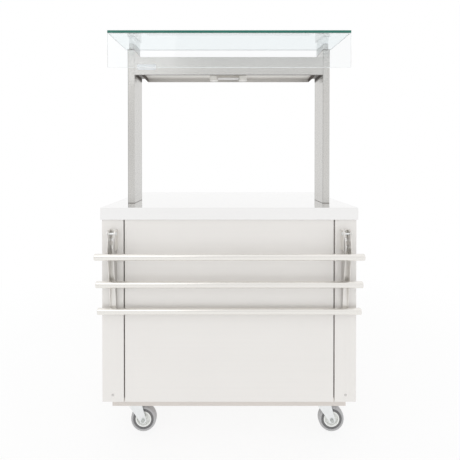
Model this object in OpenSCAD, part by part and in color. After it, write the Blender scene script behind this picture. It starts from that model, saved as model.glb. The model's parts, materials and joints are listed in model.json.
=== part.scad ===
// Ambient serving counter: a steel cupboard on castors with a folding three-tube tray slide
// and a gantry that carries a lamp canopy and a glass screen.
// Millimetres. X runs along the counter, -Y faces the customer, +Z is up.
// The origin lies on the floor under the middle of the whole outline.

/* [Worktop] */
// Length of the worktop
worktop_w = 960; // [900:1:1200]
// Depth of the worktop
worktop_d = 650; // [600:1:800]
// Height of the worktop above the floor
worktop_h = 900; // [860:1:950]
// Height of the folded worktop edge
edge_h = 45; // [35:1:60]
// Thickness of the worktop sheet
top_sheet = 1.5; // [1:0.1:2]
// Width of the lip folded in under the worktop edge
top_lip = 22; // [20:1:30]

/* [Cabinet] */
// Set-back of the cabinet faces from the worktop edge
cabinet_inset = 5; // [2:0.5:15]
// Thickness of the cabinet sheet
panel_sheet = 1.5; // [1:0.1:2]
// Distance that the panels hang below the bottom shelf
panel_drop = 7; // [2:0.5:15]
// Width of the front return of each side panel
corner_w = 80; // [60:1:100]
// Width of the open joint beside the front panel
joint_gap = 5; // [3:0.5:8]
// Depth of the folds behind the joint
fold_d = 12; // [8:1:20]
// Width of the top and bottom flanges of the side panels
flange_w = 19; // [12:1:20]
// Width of the rear return of each side panel
rear_return = 25; // [22:1:40]
// Width of the stiles behind the joints
stile_w = 40; // [30:1:60]
// Depth of the stiles behind the joints
stile_d = 20; // [15:1:30]
// Wall of the stiles and of the rear top rail
frame_wall = 2; // [1.5:0.1:3]
// Height of the rear top rail
top_rail_h = 40; // [30:1:60]
// Depth of the rear top rail
top_rail_d = 40; // [30:1:60]

/* [Shelves] */
// Height of the middle shelf above the bottom shelf
shelf_rise = 332; // [250:1:400]
// Depth of the folded edge of the middle shelf
shelf_edge = 22; // [15:1:35]
// Gap between the shelf and what stands round it
shelf_gap = 0.5; // [0.3:0.1:2]
// Free space in front of the middle shelf
shelf_front_gap = 8; // [5:1:30]
// Free space behind the middle shelf
shelf_rear_gap = 25; // [20:1:60]
// Leg of the shelf runner angle
runner_leg = 20; // [15:1:30]
// Thickness of the shelf runner angle
runner_t = 2; // [1.5:0.5:4]
// Gap between the bottom shelf's rear lip and the side panels' returns
shelf_lip_gap = 1; // [0.5:0.5:3]

/* [Base] */
// Set-back of the base frame from the worktop's ends
base_inset = 30; // [20:1:50]
// Set-back of the base frame from the worktop's front edge
base_setback = 45; // [30:1:80]
// Width of the long rails
long_rail_w = 100; // [90:1:120]
// Width of the side rails
side_rail_w = 40; // [30:1:60]
// Height of the rails
rail_h = 50; // [40:1:60]
// Wall of the rails
rail_wall = 2; // [1.5:0.1:4]

/* [Castors] */
// Height of a castor from the floor to the top of its plate
castor_h = 128; // [127:1:134]
// Distance of the swivel axes from the base frame's ends
castor_inset = 77; // [70:1:120]
// Offset of the wheel axle from the swivel axis
castor_trail = 34; // [30:1:38]
// Diameter of the wheel
wheel_dia = 100; // [96:1:102]
// Width of the tyre
tyre_w = 30; // [26:1:32]
// Outer radius of the wheel core
core_r = 31; // [28:1:34]
// Radius of the wheel's hub
hub_r = 12; // [9:1:14]
// Half thickness of the core's disc
disc_half = 3; // [2:0.5:6]
// Thickness of the core's rim
core_rim = 5; // [3:0.5:7]
// Set-back of the core's rim from the tyre's side
rim_inset = 2; // [1:0.5:3]
// Depth of the ring in the tyre's side
ring_depth = 3.5; // [2.5:0.5:5]
// Width of the slopes beside that ring
ring_slope = 2; // [1:0.5:3]
// Depth of the tyre's side at the ring's outer edge
ring_lip = 1; // [0.5:0.5:2]
// Distance of the tyre's widest place outside the ring
side_rise = 3.5; // [2.5:0.5:4.5]
// Height of the tyre's shoulder below the tread
shoulder_drop = 2.5; // [1.5:0.5:3]
// Distance of the shoulder from the tyre's side
shoulder_in = 1.5; // [1:0.5:3]
// Height of the tread's sloping edge below its middle
tread_drop = 0.5; // [0.2:0.1:1]
// Distance of the tread's sloping edge from the tyre's side
tread_edge = 6; // [4:0.5:8]
// Distance of the tread's flat middle from the tyre's side
tread_flat = 11; // [9:0.5:12]
// Radius of the wheel axle
axle_r = 4; // [3:0.5:6]
// Length of the castor plate
plate_l = 100; // [90:1:110]
// Width of the castor plate
plate_w = 85; // [80:1:90]
// Thickness of the castor plate
plate_t = 3; // [2.5:0.5:5]
// Radius of the upper ball race
race_r = 29; // [24:1:32]
// Height of the upper ball race
race_h = 4; // [3:0.5:6]
// Height of the fork's crown
crown_h = 9; // [7:0.5:10]
// Radius of the fork's crown
crown_r = 27; // [22:1:30]
// Radius of the king pin
king_r = 6; // [5:0.5:8]
// Radius of the king pin's riveted end
rivet_r = 9; // [8.5:0.5:12]
// Thickness of the king pin's riveted end
rivet_t = 3; // [2:0.5:4]
// Gap between the fork and the plate's race
crown_gap = 0.5; // [0.3:0.1:1]
// Thickness of the fork sheet
fork_sheet = 3; // [2.5:0.5:4]
// Side gap between the wheel hub and the fork
hub_gap = 0.5; // [0.3:0.1:1]
// Gap between the tyre and the fork's side
tyre_gap = 3; // [2:0.5:5]
// Radius of the fork's rounded lower end
fork_end_r = 13; // [10:1:16]
// Distance from the axle back to the end of the fork's top
fork_nose = 2; // [1:0.5:6]
// Set-back of the legs from the fork's top at the swivel's side
leg_heel = 3; // [1:0.5:6]
// Set-back of the legs from the fork's top at the axle's side
leg_toe = 2; // [1:0.5:6]
// Thickness of the axle's head and nut
axle_head = 5; // [4:0.5:8]
// Corner radius of the axle's head and nut
axle_head_r = 7.5; // [6.5:0.5:10]
// Length of the axle past its nut
axle_end = 2; // [1:0.5:4]

/* [Brake pedals] */
// Distance of the pedal's pin from the wheel axle towards the swivel axis
pedal_back = 10; // [6:0.5:14]
// Height of the pedal's pin above the tyre
pedal_rise = 4; // [4:0.1:4.6]
// Radius of the brake pedal's pin
pedal_pin_r = 2.5; // [2:0.5:3]
// Length of the pedal's pin past the fork
pedal_pin_end = 1; // [0.5:0.5:2]
// Wall of the brake pedal's hub
pedal_hub_wall = 1.5; // [1:0.1:1.6]
// Gap between the pedal's hub and the fork
pedal_end_gap = 0.4; // [0.3:0.1:1]
// Thickness of the brake pedal
pedal_t = 2.8; // [2:0.2:3]
// Width of the brake pedal
pedal_w = 30; // [20:1:32]
// Length of the level part of the brake pedal
pedal_level = 38; // [34:1:42]
// Length of the sloping part of the brake pedal
pedal_toe = 28; // [20:1:32]
// Fall of the sloping part of the brake pedal
pedal_fall = 12; // [8:1:14]
// Height of the pedal's sheet above the middle of its pin
pedal_raise = 0.2; // [0.1:0.1:0.8]
// Offset between the two sides of the pedal's sheet at its bend
pedal_bend = 0.5; // [0.2:0.1:1]

/* [Tray slide] */
// Distance that the tray tubes reach past each end of the worktop
tray_over = 5; // [-10:1:110]
// Diameter of the tray tubes
tube_dia = 25; // [20:0.5:28]
// Wall of the tray tubes
tube_wall = 1.5; // [1:0.1:2]
// Distance between neighbouring tubes
tube_pitch = 105.5; // [90:0.5:115]
// Distance of the first tube along the arm from the pivot
tube_first = 73; // [70:0.5:90]
// Distance of the tube axes in front of the line through the pivot
tube_stand = 40; // [38:0.5:50]
// Depth of the saddles that seat the tubes
saddle_d = 3; // [1.5:0.5:5]
// Lean of the hanging arms towards the cabinet
arm_lean = 8.8; // [6:0.1:9]
// Distance of the arms from the cabinet's sides
arm_inset = 44; // [30:1:50]
// Outer width of an arm
arm_w = 23; // [20:1:30]
// Thickness of the arm's sheet
arm_sheet = 2.5; // [2:0.5:3]
// Length of the arm past the last tube
arm_tip = 12; // [6:1:14]
// Radius of the arm's end round the pivot
arm_root_r = 11.5; // [9:0.5:12]
// Distance of the arm's widest place from the pivot
arm_shoulder = 45; // [35:1:55]
// Distance below the pivot at which the arm's back meets its web
arm_heel = 25; // [20:1:35]
// Gap between the arm's back and the wall bracket
arm_back_gap = 1; // [0.5:0.5:2]
// Distance of the arm's web below the wall bracket
arm_web_drop = 4; // [2:0.5:10]
// Distance of the pivot in front of the cabinet
pivot_out = 22; // [20:0.5:30]
// Distance of the pivot below the worktop
pivot_drop = 94; // [85:1:110]
// Radius of the pivot pins
pin_r = 4; // [3:0.5:5]
// Radius of the pivot pin's heads
pin_head_r = 7; // [6:0.5:9]
// Thickness of the pivot pin's heads
pin_head = 3; // [2:0.5:5]
// Thickness of the wall bracket's sheet
bracket_sheet = 3; // [2:0.5:4]
// Radius of the wall bracket's rounded top
bracket_r = 13; // [12:0.5:16]
// Length of the wall bracket below the pivot
bracket_leg = 61; // [55:1:65]
// Slope of the wall bracket's front edge, from top to bottom
bracket_taper = 4; // [0:0.5:8]
// Side gap between the arm and the wall bracket
arm_gap = 0.5; // [0.3:0.1:1]
// Radius of the bracket bolts
bolt_r = 4; // [3:0.5:5]
// Distance of the upper bracket bolt below the pivot
bolt_upper = 24; // [21:0.5:28]
// Distance of the lower bracket bolt below the pivot
bolt_lower = 52; // [46:0.5:53]
// Corner radius of the bracket bolt's head, nut and washer
bolt_head_r = 7.5; // [6.5:0.5:8]
// Height of the bracket bolt's head
bolt_head_t = 5.3; // [4:0.1:6]
// Thickness of the bracket bolt's washer
bolt_washer_t = 1.5; // [1:0.1:2]
// Height of the bracket bolt's nut
bolt_nut_t = 6.5; // [5:0.1:8]
// Length of the bracket bolt past its nut
bolt_end = 3; // [1:0.5:6]
// Thickness of the tube end caps
cap_t = 3; // [2:0.5:5]
// Rounding of the end caps
cap_round = 2.4; // [1.2:0.1:2.8]
// Length of the end cap's plug inside the tube
cap_plug = 12; // [8:1:20]

/* [Gantry] */
// Distance of the posts from the worktop's ends
post_inset = 66; // [40:1:90]
// Width of a post seen from the front
post_w = 28; // [20:1:40]
// Depth of a post seen from the side
post_d = 130; // [110:1:150]
// Height of the posts above the worktop
post_h = 630; // [560:1:700]
// Wall of the posts
post_wall = 2; // [1.5:0.1:3]
// Set-back of the posts from the worktop's front edge
post_setback = 142; // [110:1:180]
// Depth of the posts' feet in the worktop
post_root = 28; // [15:1:30]
// Gap between a post and its slot in the worktop
post_slot_gap = 0.3; // [0.1:0.1:1]

/* [Canopy] */
// Distance from the post tops down to the canopy's top
canopy_drop = 31; // [15:1:60]
// Height of the canopy
canopy_h = 74; // [65:1:90]
// Space between the canopy's ends and the posts
canopy_end_gap = 28; // [20:1:40]
// Thickness of the canopy sheet
canopy_sheet = 1.5; // [1:0.1:2]
// Depth of the recess under the canopy's ceiling
ceiling_recess = 15; // [12:1:20]
// Thickness of the canopy's brackets
canopy_bracket_t = 3; // [2:0.5:4]
// Distance that a canopy bracket reaches below the canopy
canopy_bracket_drop = 3; // [1:0.5:6]
// Distance of a canopy bracket's upper end below the canopy's top
canopy_bracket_low = 8; // [4:1:20]
// Set-back of the canopy brackets from the canopy's faces
canopy_bracket_inset = 8; // [4:1:20]

/* [Lamp] */
// Set-back of the lamp from the canopy's front
lamp_setback = 78; // [60:1:85]
// Height of the lamp's axis above the canopy's lower edge
lamp_rise = 4.5; // [3:0.5:6]
// Length of the lamp's clear tube
lamp_l = 86; // [80:1:110]
// Radius of the lamp's clear tube
lamp_r = 5; // [4:0.5:6]
// Radius of the lamp's end stems
stem_r = 3.5; // [2.5:0.5:4]
// Length of the lamp's end stems
stem_l = 14; // [10:1:18]
// Gap between the lamp's clear tube and a holder
lamp_end_gap = 2; // [1:0.5:4]
// Gap round the lamp in a holder's socket
socket_gap = 1; // [0.5:0.5:2]
// Length of a lamp holder
holder_l = 35; // [30:1:40]
// Width of a lamp holder
holder_w = 22; // [18:1:26]
// Height of a lamp holder
holder_h = 21.5; // [20:0.5:24]
// Length of the pressed dish above the lamp
dish_l = 124; // [116:1:150]
// Width of the pressed dish above the lamp
dish_w = 60; // [50:1:64]
// Height of the pressed dish above the lamp
dish_h = 24; // [15:1:35]

/* [Glass] */
// Set-back of the glass from the worktop's ends
glass_inset = 28; // [5:1:60]
// Depth of the top glass
glass_d = 264; // [240:1:270]
// Thickness of the top glass
glass_t = 10; // [8:0.5:12]
// Rise of the top glass towards the back
glass_tilt = 3.4; // [2:0.1:5]
// Gap between the post tops and the top glass at the worktop's front edge
glass_lift = 17.5; // [12:0.5:30]
// Height of the front glass
pane_h = 127.5; // [100:0.5:150]
// Thickness of the front glass
pane_t = 6; // [5:0.5:8]
// Thickness of the bond between the two panes
bond_t = 0.6; // [0.4:0.1:2]
// Width of the glass supports
support_w = 20; // [14:1:24]
// Set-back of the glass supports from the post's front face
support_inset = 8; // [5:1:20]
// Set-back of the glass supports from the top glass's rear edge
support_rear = 3; // [2:0.5:15]
// Thickness of the pads on the glass supports
pad_t = 2; // [1:0.5:3]

/* [Doors] */
// Thickness of the doors
door_t = 20; // [18:1:26]
// Gap round the doors
door_gap = 2.5; // [2:0.1:4]
// Thickness of the door skins
door_skin = 1.5; // [1:0.1:2]
// Width of the solid stile at the door's hinge edge
door_stile = 18; // [16:1:30]
// Distance of the hinge axis from the door's edge
hinge_in = 9; // [8:0.5:11]
// Distance of the hinge axis from the door's outer face
hinge_depth = 7; // [6:0.5:8]
// Radius of the door hinge pins
hinge_pin_r = 4; // [3:0.5:4.5]
// Length of a hinge pin inside the door
hinge_pin_l = 16; // [12:1:25]
// Radius of the hinge pin's collar
hinge_collar_r = 8; // [6:0.5:10]
// Gap between the hinge pin's collar and the door
collar_gap = 0.3; // [0.2:0.1:0.6]
// Projection of the door handles
handle_reach = 32; // [28:1:45]
// Distance between the handle's legs
handle_pitch = 128; // [96:1:192]
// Radius of the handle's bar
handle_r = 5; // [4:0.5:7]
// Width of the handle's foot outside its bar
handle_foot = 3; // [2:0.5:5]
// Thickness of the handle's foot
handle_foot_t = 2; // [1:0.5:3]
// Bend radius of the handle's bar
handle_bend = 12; // [9:1:18]
// Distance of the handle from the door's free edge
handle_in = 45; // [30:1:80]
// Distance of the handle's middle below the worktop
handle_drop = 260; // [200:1:400]
// Length of a magnetic catch
catch_l = 46; // [30:1:60]
// Depth of a magnetic catch
catch_d = 16; // [12:1:20]
// Height of a magnetic catch
catch_h = 13; // [10:1:18]
// Gap between a catch and the closed door
catch_gap = 0.6; // [0.3:0.1:1]
// Distance of the catches from the middle of the counter
catch_x = 60; // [40:1:120]

/* [Light switch and cable] */
// Distance of the switch from the canopy's end
switch_inset = 61; // [40:1:160]
// Height of the switch's middle above the canopy's lower edge
switch_rise = 42; // [38:1:48]
// Width of the switch body
switch_w = 24; // [24:1:30]
// Height of the switch body
switch_h = 28; // [26:1:34]
// Depth of the switch body behind the canopy's rear face
switch_d = 14; // [12:1:20]
// Width of the switch bezel outside the body
bezel_lap = 3; // [2:0.5:5]
// Thickness of the switch bezel
bezel_t = 2; // [1.5:0.5:3]
// Width of the rocker
rocker_w = 17; // [14:1:17.5]
// Half height of the rocker
rocker_half = 10; // [8:0.5:10.5]
// Half height of the rocker's foot
rocker_foot = 7; // [5:0.5:8]
// Height of the rocker's ends above its axis
rocker_lip = 6; // [4:0.5:7]
// Height of the rocker's valley above its axis
rocker_valley = 3; // [2.5:0.5:4]
// Depth of the rocker's foot below its axis
rocker_back = 5; // [3:0.5:6]
// Depth of the rocker's axis behind the canopy's rear face
rocker_in = 1; // [0.5:0.5:2]
// Radius of the rocker's pin
rocker_pin_r = 1.5; // [1:0.1:2]
// Length of the rocker's pin past each side of the rocker
rocker_pin_end = 1.7; // [1:0.1:2]
// Gap between the rocker and the switch body
rocker_gap = 0.3; // [0.3:0.1:0.6]
// Tilt of the rocker each way
rocker_tilt = 8; // [5:1:9]
// Distance of the cable gland from the middle of the counter
gland_x = 200; // [100:1:300]
// Distance of the cable gland from the cabinet's back
gland_back = 210; // [190:1:300]
// Radius of the gland's bore
gland_bore_r = 4; // [3:0.5:5]
// Radius of the gland's thread
gland_thread_r = 8; // [7:0.5:10]
// Corner radius of the gland's hexagon and nut
gland_hex_r = 12.5; // [11.5:0.5:15]
// Height of the gland's hexagon
gland_hex_t = 6; // [4:0.5:8]
// Width of the gland's cap outside its thread
gland_cap = 2; // [1:0.5:3]
// Height of the gland below the bottom shelf
gland_h = 20; // [15:1:30]
// Height of the gland's nut
gland_nut_t = 5; // [4:0.5:7]
// Length of the gland's thread past its nut
gland_thread_end = 2; // [1:0.5:5]

/* [Hidden] */
$fn = 48;

// Clearances: a pin that runs in its hole, and a piece that is fixed in its seat
run_fit = 0.06;
seat_fit = 0.02;
// Overshoot of a cut past the face that it opens
cut = 1;

// Colours
steel = [0.86, 0.86, 0.85];
steel_dark = [0.66, 0.65, 0.63];
tube_steel = [0.88, 0.86, 0.82];
zinc = [0.82, 0.84, 0.85];
glass_green = [0.75, 0.92, 0.88, 0.4];
rubber_grey = [0.60, 0.60, 0.61];
ceramic = [0.96, 0.95, 0.92];
board = [0.72, 0.62, 0.48];
black_plastic = [0.10, 0.10, 0.11];

// Tray slide in its hanging position, with Y counted from the worktop's front edge
lean_s = sin(arm_lean);
lean_c = cos(arm_lean);
tube_r = tube_dia / 2;
pivot_rel = cabinet_inset - pivot_out;
tray_front_rel = pivot_rel + tube_first * lean_s - tube_stand * lean_c - tube_r;
rear_rel = worktop_d - cabinet_inset + handle_reach;

// Planes across the counter
front_y = -(tray_front_rel + rear_rel) / 2;
back_y = front_y + worktop_d;
cab_front = front_y + cabinet_inset;
cab_back = back_y - cabinet_inset;
cab_half = worktop_w / 2 - cabinet_inset;
cab_in = cab_half - panel_sheet;
edge_z = worktop_h - edge_h;
shelf_z = castor_h + rail_h;
floor_z = shelf_z + panel_sheet;
panel_z = shelf_z - panel_drop;
corner_in = cab_half - corner_w;
front_half = corner_in - joint_gap;
fold_back = cab_front + fold_d;

// Base and castors
base_half = worktop_w / 2 - base_inset;
castor_x = base_half - castor_inset;
rail_front = front_y + base_setback;
rail_back = back_y - base_setback;
castor_front_y = rail_front + long_rail_w / 2;
castor_rear_y = rail_back - long_rail_w / 2;
wheel_r = wheel_dia / 2;
hub_half = tyre_w / 2 + tyre_gap - hub_gap;
fork_in = hub_half + hub_gap;
fork_out = fork_in + fork_sheet;
race_z = castor_h - plate_t - race_h;
crown_z = race_z - crown_gap;
fork_top = crown_z - crown_h;
fork_z = fork_top - fork_sheet;
fork_fore = castor_trail - fork_nose;
fork_aft = crown_r;
rivet_z = fork_z - crown_gap - rivet_t;
pedal_x = castor_trail - pedal_back;
pedal_z = wheel_dia + pedal_rise;
pedal_hub_r = pedal_pin_r + pedal_hub_wall;

// Pivot of the tray slide
pivot_y = front_y + pivot_rel;
pivot_z = worktop_h - pivot_drop;
arm_x = cab_half - arm_inset;
tray_half = worktop_w / 2 + tray_over;
tube_last = tube_first + 2 * tube_pitch;
arm_front_n = tube_stand - tube_r + saddle_d;
arm_back_y = cab_front - bracket_sheet - arm_back_gap;
bracket_z = pivot_z - bracket_leg;
bracket_half = arm_w / 2 + arm_gap + bracket_sheet;
bolt_drops = [bolt_upper, bolt_lower];

// Gantry
post_out = worktop_w / 2 - post_inset;
post_in = post_out - post_w;
post_front = front_y + post_setback;
post_back = post_front + post_d;
post_top = worktop_h + post_h;
post_foot = worktop_h - post_root;
canopy_top = post_top - canopy_drop;
canopy_z = canopy_top - canopy_h;
canopy_half = post_in - canopy_end_gap;
ceiling_z = canopy_z + ceiling_recess;
lamp_y = post_front + lamp_setback;
lamp_z = canopy_z + lamp_rise;
holder_in = lamp_l / 2 + lamp_end_gap;
socket_end = lamp_l / 2 + stem_l;
glass_z = post_top + glass_lift;
pane_z = glass_z - pane_h;
support_front = post_front + support_inset;
support_back = front_y + glass_d * cos(glass_tilt) - support_rear;
support_x = -(post_out + post_in) / 2;
glass_half = worktop_w / 2 - glass_inset;

// Doors
door_out = cab_half - rear_return - door_gap;
door_mid = door_gap / 2;
door_z = floor_z + door_gap;
top_rail_z = edge_z - top_rail_h;
door_top = top_rail_z - door_gap;
hinge_x = door_out - hinge_in;
hinge_y = cab_back - hinge_depth;
handle_z = worktop_h - handle_drop;
handle_x = door_mid + handle_in;

// Switch and gland
switch_x = canopy_half - switch_inset;
switch_z = canopy_z + switch_rise;
rocker_y = post_back - rocker_in;
gland_y = cab_back - gland_back;

// Height of the top glass's underside at a distance behind the worktop's front edge
function glass_under(y) = glass_z + y * tan(glass_tilt);
// Point of an arm: along it from the pivot, and out towards the customer
function arm_point(along, out) = [
    pivot_y + along * lean_s - out * lean_c,
    pivot_z - along * lean_c - out * lean_s
];

// Box between two corners
module block(low, high) {
    translate(low) cube(high - low);
}

// Flat shape in the Y-Z plane, drawn out along X
module along_x(from, to) {
    translate([from, 0, 0]) rotate([90, 0, 90]) linear_extrude(to - from) children();
}

// Flat shape in the X-Z plane, drawn out along Y
module along_y(from, to) {
    translate([0, to, 0]) rotate([90, 0, 0]) linear_extrude(to - from) children();
}

// Round bar along X
module bar_x(from, to, y, z, r) {
    translate([from, y, z]) rotate([0, 90, 0]) cylinder(h = to - from, r = r);
}

// Round bar along Y
module bar_y(from, to, x, z, r) {
    translate([x, from, z]) rotate([-90, 0, 0]) cylinder(h = to - from, r = r);
}

// The right-hand copy of a piece drawn at the left
module to_right() {
    mirror([1, 0, 0]) children();
}

// The left-hand piece and its mirrored copy
module pair() {
    children();
    to_right() children();
}

// Slot in the worktop for the foot of the left-hand post
module post_slot() {
    block([-post_out - post_slot_gap, post_front - post_slot_gap, post_foot],
          [-post_in + post_slot_gap, post_back + post_slot_gap, worktop_h + cut]);
}

module worktop() {
    color(steel) difference() {
        block([-worktop_w / 2, front_y, edge_z], [worktop_w / 2, back_y, worktop_h]);
        block([-worktop_w / 2 + top_sheet, front_y + top_sheet, edge_z + top_sheet],
              [worktop_w / 2 - top_sheet, back_y - top_sheet, worktop_h - top_sheet]);
        block([-worktop_w / 2 + top_lip, front_y + top_lip, edge_z - cut],
              [worktop_w / 2 - top_lip, back_y - top_lip, edge_z + 2 * top_sheet]);
        pair() post_slot();
    }
}

// Stiffening board, with a pocket that seats each post
module worktop_core() {
    color(board) difference() {
        block([-worktop_w / 2 + top_sheet, front_y + top_sheet, edge_z + top_sheet],
              [worktop_w / 2 - top_sheet, back_y - top_sheet, worktop_h - top_sheet]);
        pair() post_slot();
    }
}

// Holes for the bolts of the left-hand wall bracket
module bracket_bolt_holes() {
    front = cab_front - bracket_sheet - cut;
    back = cab_front + panel_sheet + cut;
    for (drop = bolt_drops)
        bar_y(front, back, -arm_x, pivot_z - drop, bolt_r + seat_fit);
}

// Side panel with its front and rear returns and its flanges, at the left
module side_panel() {
    difference() {
        union() {
            block([-cab_half, cab_front, panel_z], [-cab_in, cab_back, edge_z]);
            block([-cab_half, cab_front, panel_z], [-corner_in, cab_front + panel_sheet, edge_z]);
            block([-corner_in - panel_sheet, cab_front, panel_z], [-corner_in, fold_back, edge_z]);
            block([-cab_half, cab_back - panel_sheet, panel_z], [-cab_half + rear_return, cab_back, edge_z]);
            block([-cab_half, cab_front, edge_z - panel_sheet], [-cab_half + flange_w, cab_back, edge_z]);
            block([-cab_half, cab_front, panel_z], [-cab_half + flange_w, cab_back, panel_z + panel_sheet]);
        }
        bracket_bolt_holes();
    }
}

module side_panel_left() {
    color(steel) side_panel();
}

module side_panel_right() {
    color(steel) to_right() side_panel();
}

module front_panel() {
    color(steel) {
        block([-front_half, cab_front, panel_z], [front_half, cab_front + panel_sheet, edge_z]);
        block([-front_half, cab_front, panel_z], [front_half, fold_back, panel_z + panel_sheet]);
        block([-front_half, cab_front, edge_z - panel_sheet], [front_half, fold_back, edge_z]);
        pair() block([-front_half, cab_front, panel_z], [-front_half + panel_sheet, fold_back, edge_z]);
    }
}

// Channel stiles that close the two open joints from behind
module front_stiles() {
    middle = -(corner_in + front_half) / 2;
    left = middle - stile_w / 2;
    right = middle + stile_w / 2;
    back = fold_back + stile_d;
    color(steel_dark) pair() difference() {
        block([left, fold_back, floor_z], [right, back, edge_z]);
        block([left + frame_wall, fold_back + frame_wall, floor_z - cut],
              [right - frame_wall, back + cut, edge_z + cut]);
    }
}

// Closed box section
module box_section(low, high, wall) {
    difference() {
        block(low, high);
        block(low + [wall, wall, wall], high - [wall, wall, wall]);
    }
}

module base_rails() {
    front_in = rail_front + long_rail_w;
    back_in = rail_back - long_rail_w;
    color(steel) {
        box_section([-base_half, rail_front, castor_h], [base_half, front_in, shelf_z], rail_wall);
        box_section([-base_half, back_in, castor_h], [base_half, rail_back, shelf_z], rail_wall);
        pair() box_section([-base_half, front_in, castor_h],
                           [-base_half + side_rail_w, back_in, shelf_z], rail_wall);
    }
}

module bottom_shelf() {
    lip_half = cab_half - rear_return - shelf_lip_gap;
    color(steel) difference() {
        union() {
            block([-cab_in, fold_back, shelf_z], [cab_in, cab_back - panel_sheet, floor_z]);
            block([-lip_half, cab_back - panel_sheet, panel_z], [lip_half, cab_back, floor_z]);
        }
        translate([gland_x, gland_y, shelf_z - cut])
            cylinder(h = panel_sheet + 2 * cut, r = gland_thread_r + seat_fit);
    }
}

module middle_shelf() {
    half = cab_in - runner_t - shelf_gap;
    front = fold_back + stile_d + shelf_front_gap;
    back = cab_back - door_t - shelf_rear_gap;
    top = floor_z + shelf_rise;
    color(steel) difference() {
        block([-half, front, top - shelf_edge], [half, back, top]);
        block([-half + panel_sheet, front + panel_sheet, top - shelf_edge - cut],
              [half - panel_sheet, back - panel_sheet, top - panel_sheet]);
    }
}

module shelf_runners() {
    front = fold_back + stile_d + shelf_front_gap;
    back = cab_back - door_t - shelf_rear_gap;
    seat = floor_z + shelf_rise - shelf_edge;
    color(steel_dark) pair() {
        block([-cab_in, front, seat - runner_t], [-cab_in + runner_leg, back, seat]);
        block([-cab_in, front, seat - runner_t], [-cab_in + runner_t, back, seat + runner_leg - runner_t]);
    }
}

// Channel over the doors, open at the top
module rear_top_rail() {
    rail_y = cab_back - panel_sheet - top_rail_d;
    color(steel) difference() {
        block([-cab_in, rail_y, top_rail_z], [cab_in, cab_back - panel_sheet, edge_z - panel_sheet]);
        block([-cab_in - cut, rail_y + frame_wall, top_rail_z + frame_wall],
              [cab_in + cut, cab_back - panel_sheet - frame_wall, edge_z]);
    }
}

// Double-skinned door at the left, with a solid stile that holds the hinge bores
module door() {
    front = cab_back - door_t;
    difference() {
        block([-door_out, front, door_z], [-door_mid, cab_back, door_top]);
        block([-door_out + door_stile, front + door_skin, door_z + door_skin],
              [-door_mid - door_skin, cab_back - door_skin, door_top - door_skin]);
        for (z = [door_z - cut, door_top - hinge_pin_l - cut])
            translate([-hinge_x, hinge_y, z]) cylinder(h = hinge_pin_l + 2 * cut, r = hinge_pin_r + run_fit);
    }
}

module left_door() {
    color(steel) door();
}

module right_door() {
    color(steel) to_right() door();
}

// Bow handle on the left-hand door
module door_handle() {
    out = handle_reach - handle_r;
    half = handle_pitch / 2;
    translate([-handle_x, cab_back, handle_z]) {
        translate([0, out, handle_bend - half]) cylinder(h = handle_pitch - 2 * handle_bend, r = handle_r);
        for (side = [-1, 1]) {
            bar_y(0, out - handle_bend, 0, side * half, handle_r);
            bar_y(0, handle_foot_t, 0, side * half, handle_r + handle_foot);
            mirror([0, 0, side < 0 ? 1 : 0])
                translate([0, out - handle_bend, half - handle_bend]) rotate([90, 0, 90])
                    rotate_extrude(angle = 90) translate([handle_bend, 0]) circle(r = handle_r);
        }
    }
}

module left_door_handle() {
    color(zinc) door_handle();
}

module right_door_handle() {
    color(zinc) to_right() door_handle();
}

// Pins with a collar, fixed to the bottom shelf and to the rear top rail
module door_hinge_pins() {
    color(zinc) pair() translate([-hinge_x, hinge_y, 0]) {
        translate([0, 0, floor_z]) cylinder(h = door_gap - collar_gap, r = hinge_collar_r);
        translate([0, 0, floor_z]) cylinder(h = door_gap + hinge_pin_l, r = hinge_pin_r);
        translate([0, 0, door_top + collar_gap]) cylinder(h = door_gap - collar_gap, r = hinge_collar_r);
        translate([0, 0, door_top - hinge_pin_l]) cylinder(h = door_gap + hinge_pin_l, r = hinge_pin_r);
    }
}

// Magnetic catches under the rear top rail
module door_catches() {
    back = cab_back - door_t - catch_gap;
    color(steel_dark) pair()
        block([-catch_x - catch_l / 2, back - catch_d, top_rail_z - catch_h],
              [-catch_x + catch_l / 2, back, top_rail_z]);
}

// Side outline of the wall bracket
module bracket_outline() {
    translate([pivot_y, pivot_z]) circle(r = bracket_r);
    polygon([
        [pivot_y - bracket_r, pivot_z], [pivot_y - bracket_r + bracket_taper, bracket_z],
        [cab_front, bracket_z], [cab_front, pivot_z + bracket_r], [pivot_y, pivot_z + bracket_r]
    ]);
}

// Channel bracket on the cabinet at the left, which holds the arm between its two ears
module tray_bracket() {
    color(steel_dark) difference() {
        union() {
            for (side = [-1, 1])
                translate([side * (bracket_half - bracket_sheet / 2) - arm_x, 0, 0])
                    along_x(-bracket_sheet / 2, bracket_sheet / 2) bracket_outline();
            block([-arm_x - bracket_half, cab_front - bracket_sheet, bracket_z],
                  [-arm_x + bracket_half, cab_front, pivot_z + bracket_r]);
        }
        bar_x(-arm_x - bracket_half - cut, -arm_x + bracket_half + cut, pivot_y, pivot_z, pin_r + seat_fit);
        bracket_bolt_holes();
    }
}

module tray_bracket_left() {
    tray_bracket();
}

module tray_bracket_right() {
    to_right() tray_bracket();
}

// Hexagon-headed bolts that hold the wall brackets, with washers and nuts
module bracket_bolts() {
    face = cab_front - bracket_sheet;
    inside = cab_front + panel_sheet;
    color(zinc) pair() for (drop = bolt_drops) {
        bar_y(face - bolt_washer_t, face, -arm_x, pivot_z - drop, bolt_head_r);
        bar_y(face - bolt_washer_t, inside + bolt_nut_t + bolt_end, -arm_x, pivot_z - drop, bolt_r);
        translate([-arm_x, face - bolt_washer_t, pivot_z - drop]) rotate([90, 0, 0])
            cylinder(h = bolt_head_t, r = bolt_head_r, $fn = 6);
        translate([-arm_x, inside + bolt_nut_t, pivot_z - drop]) rotate([90, 0, 0])
            cylinder(h = bolt_nut_t, r = bolt_head_r, $fn = 6);
    }
}

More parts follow.
